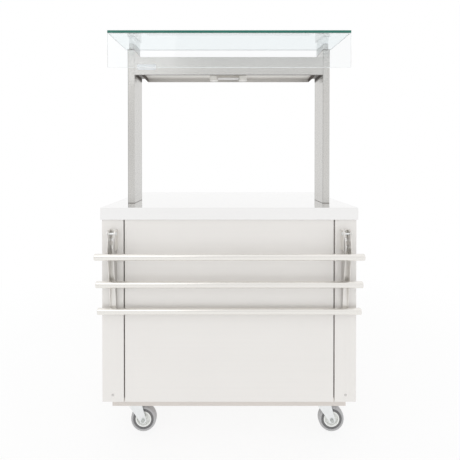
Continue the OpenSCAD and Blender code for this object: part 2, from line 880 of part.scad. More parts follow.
module tray_pins() {
    color(zinc) pair() {
        bar_x(-arm_x - bracket_half - pin_head, -arm_x + bracket_half + pin_head, pivot_y, pivot_z, pin_r);
        for (side = [-1, 1])
            translate([-arm_x + side * (bracket_half + pin_head / 2), 0, 0])
                bar_x(-pin_head / 2, pin_head / 2, pivot_y, pivot_z, pin_head_r);
    }
}

// Side outline of an arm's cheek, before the saddles are cut
module cheek_outline() {
    tip = arm_point(tube_last + arm_tip, arm_front_n);
    translate([pivot_y, pivot_z]) circle(r = arm_root_r);
    polygon([
        [pivot_y + arm_root_r, pivot_z], [arm_back_y, pivot_z - arm_heel], [arm_back_y, tip[1]], tip,
        arm_point(arm_shoulder, arm_front_n), arm_point(0, arm_root_r)
    ]);
}

// Tapered channel arm at the left: two cheeks, joined by a web that lies along the cabinet
module tray_arm() {
    tip = arm_point(tube_last + arm_tip, arm_front_n);
    half = arm_w / 2;
    color(steel_dark) difference() {
        union() {
            for (side = [-1, 1])
                translate([-arm_x + side * (half - arm_sheet / 2), 0, 0])
                    along_x(-arm_sheet / 2, arm_sheet / 2) cheek_outline();
            block([-arm_x - half, arm_back_y - arm_sheet / 2, tip[1]],
                  [-arm_x + half, arm_back_y, bracket_z - arm_web_drop]);
        }
        bar_x(-arm_x - half - cut, -arm_x + half + cut, pivot_y, pivot_z, pin_r + run_fit);
        for (i = [0:2]) {
            seat = arm_point(tube_first + i * tube_pitch, tube_stand);
            bar_x(-arm_x - half - cut, -arm_x + half + cut, seat[0], seat[1], tube_r + seat_fit);
        }
    }
}

module tray_arm_left() {
    tray_arm();
}

module tray_arm_right() {
    to_right() tray_arm();
}

// One tray tube, counted from the top
module tray_tube(i) {
    seat = arm_point(tube_first + i * tube_pitch, tube_stand);
    half = tray_half - cap_t;
    color(tube_steel) difference() {
        bar_x(-half, half, seat[0], seat[1], tube_r);
        bar_x(-half - cut, half + cut, seat[0], seat[1], tube_r - tube_wall);
    }
}

module tray_tube_top() {
    tray_tube(0);
}

module tray_tube_middle() {
    tray_tube(1);
}

module tray_tube_bottom() {
    tray_tube(2);
}

// Rounded caps plugged into the tube ends
module tray_tube_caps() {
    color(tube_steel) pair() for (i = [0:2]) {
        seat = arm_point(tube_first + i * tube_pitch, tube_stand);
        translate([-tray_half + cap_t, seat[0], seat[1]]) rotate([0, -90, 0]) {
            rotate_extrude() {
                square([tube_r, cap_t - cap_round]);
                square([tube_r - cap_round, cap_t]);
                translate([tube_r - cap_round, cap_t - cap_round]) intersection() {
                    circle(r = cap_round);
                    square(cap_round + cut);
                }
            }
            translate([0, 0, -cap_plug]) cylinder(h = cap_plug, r = tube_r - tube_wall - seat_fit);
        }
    }
}

// Box-section post at the left, closed at the top, with its foot in the worktop
module post() {
    difference() {
        block([-post_out, post_front, post_foot], [-post_in, post_back, post_top]);
        block([-post_out + post_wall, post_front + post_wall, post_foot - cut],
              [-post_in - post_wall, post_back - post_wall, post_top - post_wall]);
    }
}

module post_left() {
    color(steel) post();
}

module post_right() {
    color(steel) to_right() post();
}

// Hood with its front face carried on to the posts, and an opening for the switch
module canopy_housing() {
    color(steel) difference() {
        union() {
            block([-canopy_half, post_front, canopy_z], [canopy_half, post_back, canopy_top]);
            block([-post_in, post_front, canopy_z], [post_in, post_front + canopy_sheet, canopy_top]);
        }
        block([-canopy_half + canopy_sheet, post_front + canopy_sheet, canopy_z - cut],
              [canopy_half - canopy_sheet, post_back - canopy_sheet, canopy_top - canopy_sheet]);
        block([switch_x - switch_w / 2, post_back - canopy_sheet - cut, switch_z - switch_h / 2],
              [switch_x + switch_w / 2, post_back + cut, switch_z + switch_h / 2]);
    }
}

// Recessed ceiling with a dish pressed up over the lamp
module canopy_ceiling() {
    half = canopy_half - canopy_sheet;
    top = ceiling_z + canopy_sheet;
    dish_front = lamp_y - dish_w / 2;
    dish_back = lamp_y + dish_w / 2 - 2 * canopy_sheet;
    color(steel) difference() {
        union() {
            block([-half, post_front + canopy_sheet, ceiling_z], [half, post_back - canopy_sheet, top]);
            block([-dish_l / 2 - canopy_sheet, dish_front - canopy_sheet, ceiling_z],
                  [dish_l / 2 + canopy_sheet, dish_back + canopy_sheet, top + dish_h]);
        }
        block([-dish_l / 2, dish_front, ceiling_z - cut], [dish_l / 2, dish_back, ceiling_z + dish_h]);
    }
}

// Angle brackets that carry the canopy's ends on the posts
module canopy_brackets() {
    front = post_front + canopy_bracket_inset;
    back = post_back - canopy_bracket_inset;
    leg_z = ceiling_z - canopy_bracket_t;
    color(steel_dark) pair() {
        block([-post_in, front, canopy_z - canopy_bracket_drop],
              [-post_in + canopy_bracket_t, back, canopy_top - canopy_bracket_low]);
        block([-post_in, front, leg_z], [-canopy_half, back, ceiling_z]);
    }
}

// Ceramic holders with a rounded plan and a blind socket for the lamp's stem
module lamp_holders() {
    round_r = holder_w / 2;
    color(ceramic) pair() difference() {
        translate([-holder_in - holder_l, lamp_y, ceiling_z - holder_h]) {
            translate([round_r, 0, 0]) cylinder(h = holder_h, r = round_r);
            translate([holder_l - round_r, 0, 0]) cylinder(h = holder_h, r = round_r);
            block([round_r, -round_r, 0], [holder_l - round_r, round_r, holder_h]);
        }
        bar_x(-socket_end, -holder_in + cut, lamp_y, lamp_z, lamp_r + socket_gap);
    }
}

module lamp_tube() {
    color([1, 1, 1, 0.6]) {
        bar_x(-lamp_l / 2, lamp_l / 2, lamp_y, lamp_z, lamp_r);
        bar_x(-socket_end, socket_end, lamp_y, lamp_z, stem_r);
    }
}

// Switch body with its bezel, its pocket and the bores for the rocker's pin
module switch_body() {
    pocket_z = rocker_half * cos(rocker_tilt) + rocker_lip * sin(rocker_tilt) + rocker_gap;
    pocket_d = rocker_back * cos(rocker_tilt) + rocker_half * sin(rocker_tilt) + rocker_gap;
    bore_half = rocker_w / 2 + rocker_pin_end + rocker_gap;
    color(black_plastic) translate([switch_x, 0, switch_z]) difference() {
        union() {
            block([-switch_w / 2, post_back - switch_d, -switch_h / 2],
                  [switch_w / 2, post_back, switch_h / 2]);
            block([-switch_w / 2 - bezel_lap, post_back, -switch_h / 2 - bezel_lap],
                  [switch_w / 2 + bezel_lap, post_back + bezel_t, switch_h / 2 + bezel_lap]);
        }
        block([-rocker_w / 2 - rocker_gap, rocker_y - pocket_d, -pocket_z],
              [rocker_w / 2 + rocker_gap, post_back + bezel_t + cut, pocket_z]);
        bar_x(-bore_half, bore_half, rocker_y, 0, rocker_pin_r + run_fit);
    }
}

// Rocker with a shallow valley across its face, tilted to its off position
module switch_rocker() {
    pin_half = rocker_w / 2 + rocker_pin_end;
    color(black_plastic) translate([switch_x, rocker_y, switch_z]) rotate([rocker_tilt, 0, 0]) {
        along_x(-rocker_w / 2, rocker_w / 2) polygon([
            [-rocker_back, -rocker_foot], [0, -rocker_half], [rocker_lip, -rocker_half],
            [rocker_valley, 0],
            [rocker_lip, rocker_half], [0, rocker_half], [-rocker_back, rocker_foot]
        ]);
        bar_x(-pin_half, pin_half, 0, 0, rocker_pin_r);
    }
}

// Cable gland through the bottom shelf, with its nut inside the cupboard
module cable_gland() {
    gland_z = shelf_z - gland_h;
    gland_top = floor_z + gland_nut_t + gland_thread_end;
    color(black_plastic) translate([gland_x, gland_y, 0]) difference() {
        union() {
            translate([0, 0, gland_z]) cylinder(h = gland_h - gland_hex_t, r = gland_thread_r + gland_cap);
            translate([0, 0, shelf_z - gland_hex_t]) cylinder(h = gland_hex_t, r = gland_hex_r, $fn = 6);
            translate([0, 0, shelf_z - cut]) cylinder(h = gland_top - shelf_z + cut, r = gland_thread_r);
            translate([0, 0, floor_z]) cylinder(h = gland_nut_t, r = gland_hex_r, $fn = 6);
        }
        translate([0, 0, gland_z - cut]) cylinder(h = gland_top - gland_z + 2 * cut, r = gland_bore_r);
    }
}

// Wedge bars on the posts that carry the top glass at its slope
module glass_supports() {
    front = support_front - front_y;
    back = support_back - front_y;
    color(steel) pair() along_x(support_x - support_w / 2, support_x + support_w / 2) polygon([
        [support_front, post_top], [support_back, post_top],
        [support_back, glass_under(back) - pad_t], [support_front, glass_under(front) - pad_t]
    ]);
}

module top_glass() {
    color(glass_green) translate([0, front_y, glass_z]) rotate([glass_tilt, 0, 0])
        block([-glass_half, 0, 0], [glass_half, glass_d, glass_t]);
}

// Front glass, cut at the top to the slope of the top glass
module front_glass() {
    color(glass_green) along_x(-glass_half, glass_half) polygon([
        [front_y, pane_z], [front_y + pane_t, pane_z],
        [front_y + pane_t, glass_under(pane_t) - bond_t], [front_y, glass_under(0) - bond_t]
    ]);
}

// Pads between the supports and the top glass, and the clear bond along the front glass
module glass_seats() {
    front = support_front - front_y;
    back = support_back - front_y;
    color([0.9, 0.9, 0.9, 0.6]) {
        pair() along_x(support_x - support_w / 2, support_x + support_w / 2) polygon([
            [support_front, glass_under(front) - pad_t], [support_back, glass_under(back) - pad_t],
            [support_back, glass_under(back) - seat_fit], [support_front, glass_under(front) - seat_fit]
        ]);
        along_x(-glass_half, glass_half) polygon([
            [front_y, glass_under(0) - bond_t], [front_y + pane_t, glass_under(pane_t) - bond_t],
            [front_y + pane_t, glass_under(pane_t) - seat_fit], [front_y, glass_under(0) - seat_fit]
        ]);
    }
}

// Castor plates with their upper race and riveted king pin
module castor_plates() {
    color(zinc) pair() for (y = [castor_front_y, castor_rear_y]) translate([-castor_x, y, 0]) {
        block([-plate_l / 2, -plate_w / 2, castor_h - plate_t], [plate_l / 2, plate_w / 2, castor_h]);
        translate([0, 0, race_z]) cylinder(h = race_h, r = race_r);
        translate([0, 0, rivet_z]) cylinder(h = rivet_t, r = rivet_r);
        translate([0, 0, rivet_z]) cylinder(h = race_z - rivet_z, r = king_r);
    }
}

// Side outline of a fork leg, from the crown down to the axle
module leg_outline() {
    translate([castor_trail, wheel_r]) circle(r = fork_end_r);
    polygon([
        [-fork_aft + leg_heel, fork_top], [fork_fore - leg_toe, fork_top],
        [castor_trail + fork_end_r, wheel_r],
        [castor_trail - fork_end_r * cos(45), wheel_r - fork_end_r * sin(45)]
    ]);
}

// Swivel fork; a braked one has bores for the pedal's pin
module fork(x, y, braked = false) {
    color(zinc) translate([x, y, 0]) difference() {
        union() {
            translate([0, 0, fork_top]) cylinder(h = crown_h, r = crown_r);
            block([-fork_aft, -fork_out, fork_z], [fork_fore, fork_out, fork_top]);
            for (side = [-1, 1])
                translate([0, side * (fork_in + fork_sheet / 2), 0])
                    along_y(-fork_sheet / 2, fork_sheet / 2) leg_outline();
        }
        translate([0, 0, fork_z - cut]) cylinder(h = fork_sheet + crown_h + 2 * cut, r = king_r + run_fit);
        bar_y(-fork_out - cut, fork_out + cut, castor_trail, wheel_r, axle_r + seat_fit);
        if (braked)
            bar_y(-fork_out - cut, fork_out + cut, pedal_x, pedal_z, pedal_pin_r + run_fit);
    }
}

// Axle bolt with a hexagon head in front and a nut behind
module axle(x, y) {
    color(zinc) translate([x + castor_trail, y, 0]) {
        bar_y(-fork_out - axle_head, fork_out + axle_head + axle_end, 0, wheel_r, axle_r);
        translate([0, -fork_out, wheel_r]) rotate([90, 0, 0])
            cylinder(h = axle_head, r = axle_head_r, $fn = 6);
        translate([0, fork_out + axle_head, wheel_r]) rotate([90, 0, 0])
            cylinder(h = axle_head, r = axle_head_r, $fn = 6);
    }
}

// Wheel core: hub, disc and rim in one turned shape
module wheel_core(x, y) {
    rim_half = tyre_w / 2 - rim_inset;
    rim_in = core_r - core_rim;
    bore_r = axle_r + run_fit;
    color(zinc) translate([x + castor_trail, y, wheel_r]) rotate([90, 0, 0]) rotate_extrude() polygon([
        [bore_r, -hub_half], [hub_r, -hub_half], [hub_r, -disc_half],
        [rim_in, -disc_half], [rim_in, -rim_half], [core_r, -rim_half],
        [core_r, rim_half], [rim_in, rim_half], [rim_in, disc_half],
        [hub_r, disc_half], [hub_r, hub_half], [bore_r, hub_half]
    ]);
}

// Rubber tyre with a rounded tread and a shallow ring in each side
module tyre(x, y) {
    half = tyre_w / 2;
    ring_r = (core_r + wheel_r) / 2;
    side = [
        [core_r, half - rim_inset], [core_r + ring_slope, half - ring_depth],
        [ring_r - ring_slope / 2, half - ring_depth], [ring_r + ring_slope / 2, half - ring_lip],
        [ring_r + side_rise, half], [wheel_r - shoulder_drop, half - shoulder_in],
        [wheel_r - tread_drop, half - tread_edge], [wheel_r, half - tread_flat]
    ];
    other_side = [for (i = [len(side) - 1:-1:0]) [side[i][0], -side[i][1]]];
    color(rubber_grey) translate([x + castor_trail, y, wheel_r]) rotate([90, 0, 0])
        rotate_extrude($fn = 72) polygon(concat(side, other_side));
}

// Brake pedal that presses on the tyre, with its own pin in the fork
module brake_pedal(x, y) {
    under = pedal_z - pedal_t / 2 + pedal_raise;
    over = under + pedal_t;
    knee = pedal_x + pedal_level;
    toe = knee + pedal_toe;
    hub_end = fork_in - pedal_end_gap;
    color(steel_dark) translate([x, y, 0]) {
        bar_y(-fork_out - pedal_pin_end, fork_out + pedal_pin_end, pedal_x, pedal_z, pedal_pin_r);
        bar_y(-hub_end, hub_end, pedal_x, pedal_z, pedal_hub_r);
        along_y(-pedal_w / 2, pedal_w / 2) polygon([
            [pedal_x, under], [knee, under], [toe, under - pedal_fall],
            [toe + 2 * pedal_bend, over - pedal_fall], [knee + pedal_bend, over], [pedal_x, over]
        ]);
    }
}

module fork_front_left() {
    fork(-castor_x, castor_front_y);
}

module fork_front_right() {
    fork(castor_x, castor_front_y);
}

module fork_rear_left() {
    fork(-castor_x, castor_rear_y, true);
}

module fork_rear_right() {
    fork(castor_x, castor_rear_y, true);
}

worktop();
worktop_core();
side_panel_left();
side_panel_right();
front_panel();
front_stiles();
base_rails();
bottom_shelf();
middle_shelf();
shelf_runners();
rear_top_rail();
left_door();
right_door();
left_door_handle();
right_door_handle();
door_hinge_pins();
door_catches();
tray_bracket_left();
tray_bracket_right();
bracket_bolts();
tray_pins();
tray_arm_left();
tray_arm_right();
tray_tube_top();
tray_tube_middle();
tray_tube_bottom();
tray_tube_caps();
post_left();
post_right();
canopy_housing();
canopy_ceiling();
canopy_brackets();
lamp_holders();
lamp_tube();
switch_body();
switch_rocker();
cable_gland();
glass_supports();
top_glass();
front_glass();
glass_seats();
castor_plates();
fork_front_left();
fork_front_right();
fork_rear_left();
fork_rear_right();
axle(-castor_x, castor_front_y);  // axle_front_left
axle(castor_x, castor_front_y);  // axle_front_right
axle(-castor_x, castor_rear_y);  // axle_rear_left
axle(castor_x, castor_rear_y);  // axle_rear_right
wheel_core(-castor_x, castor_front_y);  // core_front_left
wheel_core(castor_x, castor_front_y);  // core_front_right
wheel_core(-castor_x, castor_rear_y);  // core_rear_left
wheel_core(castor_x, castor_rear_y);  // core_rear_right
tyre(-castor_x, castor_front_y);  // tyre_front_left
tyre(castor_x, castor_front_y);  // tyre_front_right
tyre(-castor_x, castor_rear_y);  // tyre_rear_left
tyre(castor_x, castor_rear_y);  // tyre_rear_right
brake_pedal(-castor_x, castor_rear_y);  // brake_pedal_left
brake_pedal(castor_x, castor_rear_y);  // brake_pedal_right
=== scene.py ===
"""Looks of the serving counter: finishes, fasteners, lamp coil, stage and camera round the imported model."""
import json
import math

import bmesh
import bpy
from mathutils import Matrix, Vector


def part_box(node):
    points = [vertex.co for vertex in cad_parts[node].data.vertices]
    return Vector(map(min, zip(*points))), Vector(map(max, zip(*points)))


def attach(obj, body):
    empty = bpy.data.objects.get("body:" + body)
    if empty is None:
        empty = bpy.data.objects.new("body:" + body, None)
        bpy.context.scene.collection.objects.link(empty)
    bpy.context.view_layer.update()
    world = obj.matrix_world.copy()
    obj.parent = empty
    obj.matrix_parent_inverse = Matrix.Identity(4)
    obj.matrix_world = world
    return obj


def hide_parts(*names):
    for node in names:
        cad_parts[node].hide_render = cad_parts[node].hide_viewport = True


bl_info = {
    "name": "Serving Counter",
    "version": (1, 0, 0),
    "blender": (4, 5, 0),
    "location": "3D View > Sidebar > Counter",
    "description": "Dresses a packed serving counter with its finishes, fasteners, stage and camera",
    "category": "Object",
}

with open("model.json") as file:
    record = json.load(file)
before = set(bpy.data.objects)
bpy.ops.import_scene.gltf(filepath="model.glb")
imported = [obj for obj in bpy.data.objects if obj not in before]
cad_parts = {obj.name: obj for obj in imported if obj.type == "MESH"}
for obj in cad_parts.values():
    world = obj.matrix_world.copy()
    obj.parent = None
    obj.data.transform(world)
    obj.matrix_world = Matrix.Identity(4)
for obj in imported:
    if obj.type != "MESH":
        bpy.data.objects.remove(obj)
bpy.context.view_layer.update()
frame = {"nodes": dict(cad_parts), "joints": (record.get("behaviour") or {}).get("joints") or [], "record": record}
NODES = frame["nodes"]
RECORD = frame["record"]
BODY_OF = {node: body for body, group in RECORD["behaviour"]["bodies"].items() for node in group}
SLOT_OF = {row["node"]: row["material_slot"] for row in RECORD["subparts"]}
JOINT = {joint["name"]: joint for joint in frame["joints"]}
MM = 0.001


# Sizes and colours

class SteelLook(bpy.types.PropertyGroup):
    """Colours and finish of the counter's metal."""

    sheet: bpy.props.FloatVectorProperty(
        name="Sheet", description="Colour of the folded stainless sheet", subtype="COLOR", size=3,
        default=(0.835, 0.815, 0.79), min=0, max=1)
    top: bpy.props.FloatVectorProperty(
        name="Worktop", description="Colour of the polished worktop", subtype="COLOR", size=3,
        default=(0.885, 0.88, 0.875), min=0, max=1)
    post: bpy.props.FloatVectorProperty(
        name="Posts", description="Colour of the gantry posts and the canopy", subtype="COLOR", size=3,
        default=(0.63, 0.62, 0.60), min=0, max=1)
    base: bpy.props.FloatVectorProperty(
        name="Base", description="Colour of the base frame under the cabinet", subtype="COLOR", size=3,
        default=(0.735, 0.69, 0.65), min=0, max=1)
    frame: bpy.props.FloatVectorProperty(
        name="Brackets", description="Colour of the brackets, arms and hidden frame", subtype="COLOR", size=3,
        default=(0.84, 0.82, 0.79), min=0, max=1)
    tube: bpy.props.FloatVectorProperty(
        name="Tubes", description="Colour of the tray tubes", subtype="COLOR", size=3,
        default=(0.85, 0.83, 0.795), min=0, max=1)
    zinc: bpy.props.FloatVectorProperty(
        name="Zinc", description="Colour of the zinc-plated castors and fasteners", subtype="COLOR", size=3,
        default=(0.86, 0.875, 0.88), min=0, max=1)
    # The dull colour is painted shade: near black on the canopy's downward and inward faces, its brackets' inner
    # faces, the stiles behind the panel joints, and the lines at the posts' feet and top ends.
    dull: bpy.props.FloatVectorProperty(
        name="Dull faces", description="Colour of the shade_painted faces inside the canopy", subtype="COLOR",
        size=3, default=(0.10, 0.085, 0.075), min=0, max=1)
    sheet_metallic: bpy.props.FloatProperty(
        name="Sheet metallic", description="How much of the sheet's shine is a mirror's", default=0.2,
        min=0, max=1)
    sheet_roughness: bpy.props.FloatProperty(
        name="Sheet roughness", description="Mean roughness of the brushed sheet", default=0.5,
        min=0.05, max=1)
    grain: bpy.props.FloatProperty(
        name="Grain", description="Spacing of the brush lines", default=0.4 * MM, min=0.1 * MM, max=2 * MM,
        unit="LENGTH", precision=4)
    edge_round: bpy.props.FloatProperty(
        name="Edge radius", description="Rounding of cut and folded sheet edges", default=0.5 * MM,
        min=0.1 * MM, max=0.7 * MM, unit="LENGTH", precision=4)


class GlassLook(bpy.types.PropertyGroup):
    """Colours of the glass screen and the lamp."""

    face: bpy.props.FloatVectorProperty(
        name="Top face", description="Tint of the top glass seen through its faces", subtype="COLOR", size=3,
        default=(0.87, 0.92, 0.93), min=0, max=1)
    pane: bpy.props.FloatVectorProperty(
        name="Front face", description="Tint of the front glass seen through its faces", subtype="COLOR",
        size=3, default=(0.955, 0.965, 0.97), min=0, max=1)
    edge: bpy.props.FloatVectorProperty(
        name="Edge", description="Colour of the top glass's front edge", subtype="COLOR", size=3,
        default=(0.010, 0.135, 0.100), min=0, max=1)
    edge_pale: bpy.props.FloatVectorProperty(
        name="Pale edge", description="Colour of the other, polished edges", subtype="COLOR", size=3,
        default=(0.96, 0.99, 0.985), min=0, max=1)
    edge_cover: bpy.props.FloatProperty(
        name="Edge cover", description="How far the cut edges hide what is behind them", default=0.97,
        min=0, max=1)
    arris: bpy.props.FloatProperty(
        name="Arris", description="Width of the ground arris along the top glass's edges", default=0.8 * MM,
        min=0.1 * MM, max=2 * MM, unit="LENGTH", precision=4)
    pane_arris: bpy.props.FloatProperty(
        name="Front arris", description="Width of the ground arris along the front glass's edges",
        default=2.1 * MM, min=0.1 * MM, max=2.5 * MM, unit="LENGTH", precision=4)
    coil_turns: bpy.props.IntProperty(
        name="Coil turns", description="Turns of the filament in the lamp", default=46, min=8, max=80)
    coil_radius: bpy.props.FloatProperty(
        name="Coil radius", description="Radius of the lamp's filament coil", default=1.3 * MM,
        min=0.5 * MM, max=3 * MM, unit="LENGTH", precision=4)


class CastorLook(bpy.types.PropertyGroup):
    """Colours of the wheels."""

    tread: bpy.props.FloatVectorProperty(
        name="Tread", description="Colour of the tyre's tread and shoulders", subtype="COLOR", size=3,
        default=(0.47, 0.47, 0.48), min=0, max=1)
    wall: bpy.props.FloatVectorProperty(
        name="Side ring", description="Colour of the tyre's inner ring", subtype="COLOR", size=3,
        default=(0.13, 0.13, 0.135), min=0, max=1)
    core: bpy.props.FloatVectorProperty(
        name="Core", description="Colour of the moulded wheel core", subtype="COLOR", size=3,
        default=(0.88, 0.89, 0.87), min=0, max=1)
    ring_edge: bpy.props.FloatProperty(
        name="Ring edge", description="Radius at which the tyre's side ring ends", default=40 * MM,
        min=32 * MM, max=48 * MM, unit="LENGTH", precision=4)


class FastenerSizes(bpy.types.PropertyGroup):
    """Sizes of the small screws and bolts, and of the bare label plate."""

    plate_bolt_pitch: bpy.props.FloatVectorProperty(
        name="Plate bolt pitch", description="Spacing of the bolts in each castor plate", size=2,
        default=(80 * MM, 60 * MM), min=30 * MM, max=90 * MM, unit="LENGTH")
    plate_bolt_radius: bpy.props.FloatProperty(
        name="Plate bolt radius", description="Corner radius of the bolt heads", default=6.5 * MM,
        min=3 * MM, max=10 * MM, unit="LENGTH", precision=4)
    plate_bolt_height: bpy.props.FloatProperty(
        name="Plate bolt height", description="Height of the bolt heads", default=4.5 * MM,
        min=2 * MM, max=8 * MM, unit="LENGTH", precision=4)
    screw_radius: bpy.props.FloatProperty(
        name="Screw radius", description="Head radius of the small dome screws", default=4 * MM,
        min=2 * MM, max=8 * MM, unit="LENGTH", precision=4)
    screw_height: bpy.props.FloatProperty(
        name="Screw height", description="Head height of the small dome screws", default=1.8 * MM,
        min=0.5 * MM, max=4 * MM, unit="LENGTH", precision=4)
    corner_screw_in: bpy.props.FloatProperty(
        name="Corner screw inset", description="Distance of a corner screw from the cabinet's side",
        default=39 * MM, min=10 * MM, max=70 * MM, unit="LENGTH", precision=4)
    corner_screw_up: bpy.props.FloatProperty(
        name="Corner screw height", description="Distance of a corner screw from the panel's lower edge",
        default=26 * MM, min=10 * MM, max=70 * MM, unit="LENGTH", precision=4)
    label_size: bpy.props.FloatVectorProperty(
        name="Label size", description="Length and height of the bare label plate", size=2,
        default=(77 * MM, 22 * MM), min=10 * MM, max=150 * MM, unit="LENGTH")
    label_in: bpy.props.FloatProperty(
        name="Label inset", description="Distance of the label from the post", default=11 * MM,
        min=2 * MM, max=100 * MM, unit="LENGTH", precision=4)
    label_up: bpy.props.FloatProperty(
        name="Label height", description="Height of the label above the canopy's lower edge", default=22 * MM,
        min=5 * MM, max=50 * MM, unit="LENGTH", precision=4)


class StageLook(bpy.types.PropertyGroup):
    """Floor, lights and camera."""

    floor: bpy.props.FloatVectorProperty(
        name="Floor", description="Colour of the floor", subtype="COLOR", size=3, default=(0.96, 0.96, 0.96),
        min=0, max=1)
    sky: bpy.props.FloatProperty(
        name="Surround", description="Brightness of the white surround as light", default=0.93, min=0, max=2)
    room: bpy.props.FloatProperty(
        name="Room", description="Brightness of the room side that metal reflects", default=0.88,
        min=0, max=2)
    room_side: bpy.props.FloatProperty(
        name="Room side", description="How much brighter the room is to the right than ahead", default=0.18,
        min=-1, max=1)
    overhead: bpy.props.FloatProperty(
        name="Overhead", description="How much brighter metal sees the surround straight above", default=0.1,
        min=0, max=2)
    floor_glow: bpy.props.FloatProperty(
        name="Floor glow", description="Share of the floor that is plain white under the shadow",
        default=0.82, min=0, max=1)
    key_power: bpy.props.FloatProperty(
        name="Key power", description="Power of the large lamp above the front", default=14, min=0, max=1000,
        unit="POWER")
    fill_power: bpy.props.FloatProperty(
        name="Fill power", description="Power of each side lamp", default=1.5, min=0, max=1000, unit="POWER")
    camera_distance: bpy.props.FloatProperty(
        name="Camera distance", description="Distance of the camera in front of the worktop's edge",
        default=1.3266, min=0.5, max=10, unit="LENGTH")
    camera_height: bpy.props.FloatProperty(
        name="Camera height", description="Height of the camera above the floor", default=1.075,
        min=0.1, max=4, unit="LENGTH")
    camera_side: bpy.props.FloatProperty(
        name="Camera side", description="Distance of the camera to the right of the middle", default=-0.0209,
        min=-2, max=2, unit="LENGTH")
    camera_tilt: bpy.props.FloatProperty(
        name="Camera tilt", description="Downward tilt of the camera", default=math.radians(0.47),
        min=-0.5, max=0.5, unit="ROTATION")
    camera_lens: bpy.props.FloatProperty(
        name="Focal length", description="Focal length of the camera, in millimetres", default=27.97, min=10,
        max=200)
    camera_shift: bpy.props.FloatVectorProperty(
        name="Shift", description="Shift of the camera's frame, as shares of its width", size=2,
        default=(0.01387, -0.1445))


# Shader building

class Value:
    """A shader socket on which Python's operators build Math nodes."""

    def __init__(self, tree, socket):
        self.tree = tree
        self.socket = socket

    def _math(self, operation, first, second):
        return self.tree.node("ShaderNodeMath", {"operation": operation}, {0: first, 1: second})

    def __add__(self, other):
        return self._math("ADD", self, other)

    def __radd__(self, other):
        return self._math("ADD", other, self)

    def __sub__(self, other):
        return self._math("SUBTRACT", self, other)

    def __rsub__(self, other):
        return self._math("SUBTRACT", other, self)

    def __mul__(self, other):
        return self._math("MULTIPLY", self, other)

    def __gt__(self, other):
        return self._math("GREATER_THAN", self, other)


class ShaderTree:
    """A node tree that is filled through one method."""

    def __init__(self, owner):
        owner.use_nodes = True
        self.tree = owner.node_tree
        self.tree.nodes.clear()

    def node(self, kind, settings=None, sockets=None, output=0):
        """Adds a node, sets its settings and then its sockets, and returns one output as a Value."""
        made = self.tree.nodes.new(kind)
        for name, setting in (settings or {}).items():
            setattr(made, name, setting)
        for name, value in (sockets or {}).items():
            if isinstance(value, Value):
                self.tree.links.new(value.socket, made.inputs[name])
            else:
                made.inputs[name].default_value = value
        if not made.outputs:
            return None
        return Value(self, made.outputs[output])

    def blend(self, share, first, second):
        """Mixes two colours, which are the Mix node's sockets 6 and 7, and gives its colour output."""
        sockets = {0: share, 6: first if isinstance(first, Value) else (*first, 1),
                   7: second if isinstance(second, Value) else (*second, 1)}
        return self.node("ShaderNodeMix", {"data_type": "RGBA"}, sockets, 2)

    def place(self, scale=(1, 1, 1)):
        """Object coordinates, stretched."""
        coords = self.node("ShaderNodeTexCoord", output="Object")
        return self.node("ShaderNodeMapping", {}, {"Vector": coords, "Scale": scale})

    def noise(self, vector, scale, detail, roughness):
        """Noise on stretched coordinates."""
        return self.node("ShaderNodeTexNoise", {}, {
            "Vector": vector, "Scale": scale, "Detail": detail, "Roughness": roughness})

    def surface(self, shader):
        """Ends a material with its shader."""
        self.node("ShaderNodeOutputMaterial", {}, {"Surface": shader})


def new_material(name):
    """A material and its empty tree."""
    material = bpy.data.materials.new(name)
    return material, ShaderTree(material)


GRAIN_STRETCH = {"X": (0.012, 1, 1), "Z": (1, 1, 0.012)}


def shade(colour, share):
    """A colour made darker or paler, up to white."""
    return tuple(min(c * share, 1) for c in colour)


def brushed_steel(name, colour, roughness, along, grain, wave, metallic, strips):
    """Brushed stainless steel: fine lines along one axis, clouding, handling marks and an uneven sheet.

    The wave is the sheet's unevenness in millimetres. Each strip lies between two values on one axis and has
    a colour of its own, which is painted shade: darker faces and dark lines where shade falls.
    """
    material, tree = new_material(name)
    stretch = GRAIN_STRETCH[along]
    lines = tree.noise(tree.place(tuple(s / grain for s in stretch)), 1.0, 2.0, 0.6)
    bands = tree.noise(tree.place(tuple(90 * s for s in stretch)), 1.0, 3.0, 0.55)
    cloud = tree.noise(tree.place(), 3.2, 3.0, 0.5)
    smear = tree.noise(tree.place((1, 1, 2.2)), 11.0, 4.0, 0.62)
    share = cloud * 0.5 + bands * 0.35 + lines * 0.15
    tone = tree.blend(share, shade(colour, 0.955), shade(colour, 1.035))
    for axis, low, high, strip_colour in strips:
        along_axis = tree.node("ShaderNodeSeparateXYZ", {}, {"Vector": tree.place()}, axis)
        tone = tree.blend((along_axis > low) * (1 - (along_axis > high)), tone, strip_colour)
    rough = roughness - 0.09 + lines * 0.10 + smear * 0.08
    height = lines * (0.003 * MM) + smear * (wave * MM)
    bump = tree.node("ShaderNodeBump", {}, {"Height": height, "Strength": 0.35, "Distance": 1.0})
    tree.surface(tree.node("ShaderNodeBsdfPrincipled", {}, {
        "Base Color": tone, "Metallic": metallic, "Roughness": rough, "Normal": bump}))
    return material


def plated_steel(name, colour, roughness):
    """Zinc-plated steel: a faint bluish spangle and dull handling marks."""
    material, tree = new_material(name)
    spangle = tree.node("ShaderNodeTexVoronoi", {}, {"Vector": tree.place(), "Scale": 260.0}, "Color")
    grey = tree.node("ShaderNodeRGBToBW", {}, {"Color": spangle})
    dull = tree.noise(tree.place(), 45.0, 4.0, 0.6)
    share = grey * 0.45 + dull * 0.55
    tone = tree.blend(share, shade(colour, 0.90), shade(colour, 1.05))
    rough = roughness - 0.08 + dull * 0.18
    bump = tree.node("ShaderNodeBump", {}, {"Height": dull * (0.05 * MM), "Strength": 0.3, "Distance": 1.0})
    tree.surface(tree.node("ShaderNodeBsdfPrincipled", {}, {
        "Base Color": tone, "Metallic": 1.0, "Roughness": rough, "Normal": bump}))
    return material


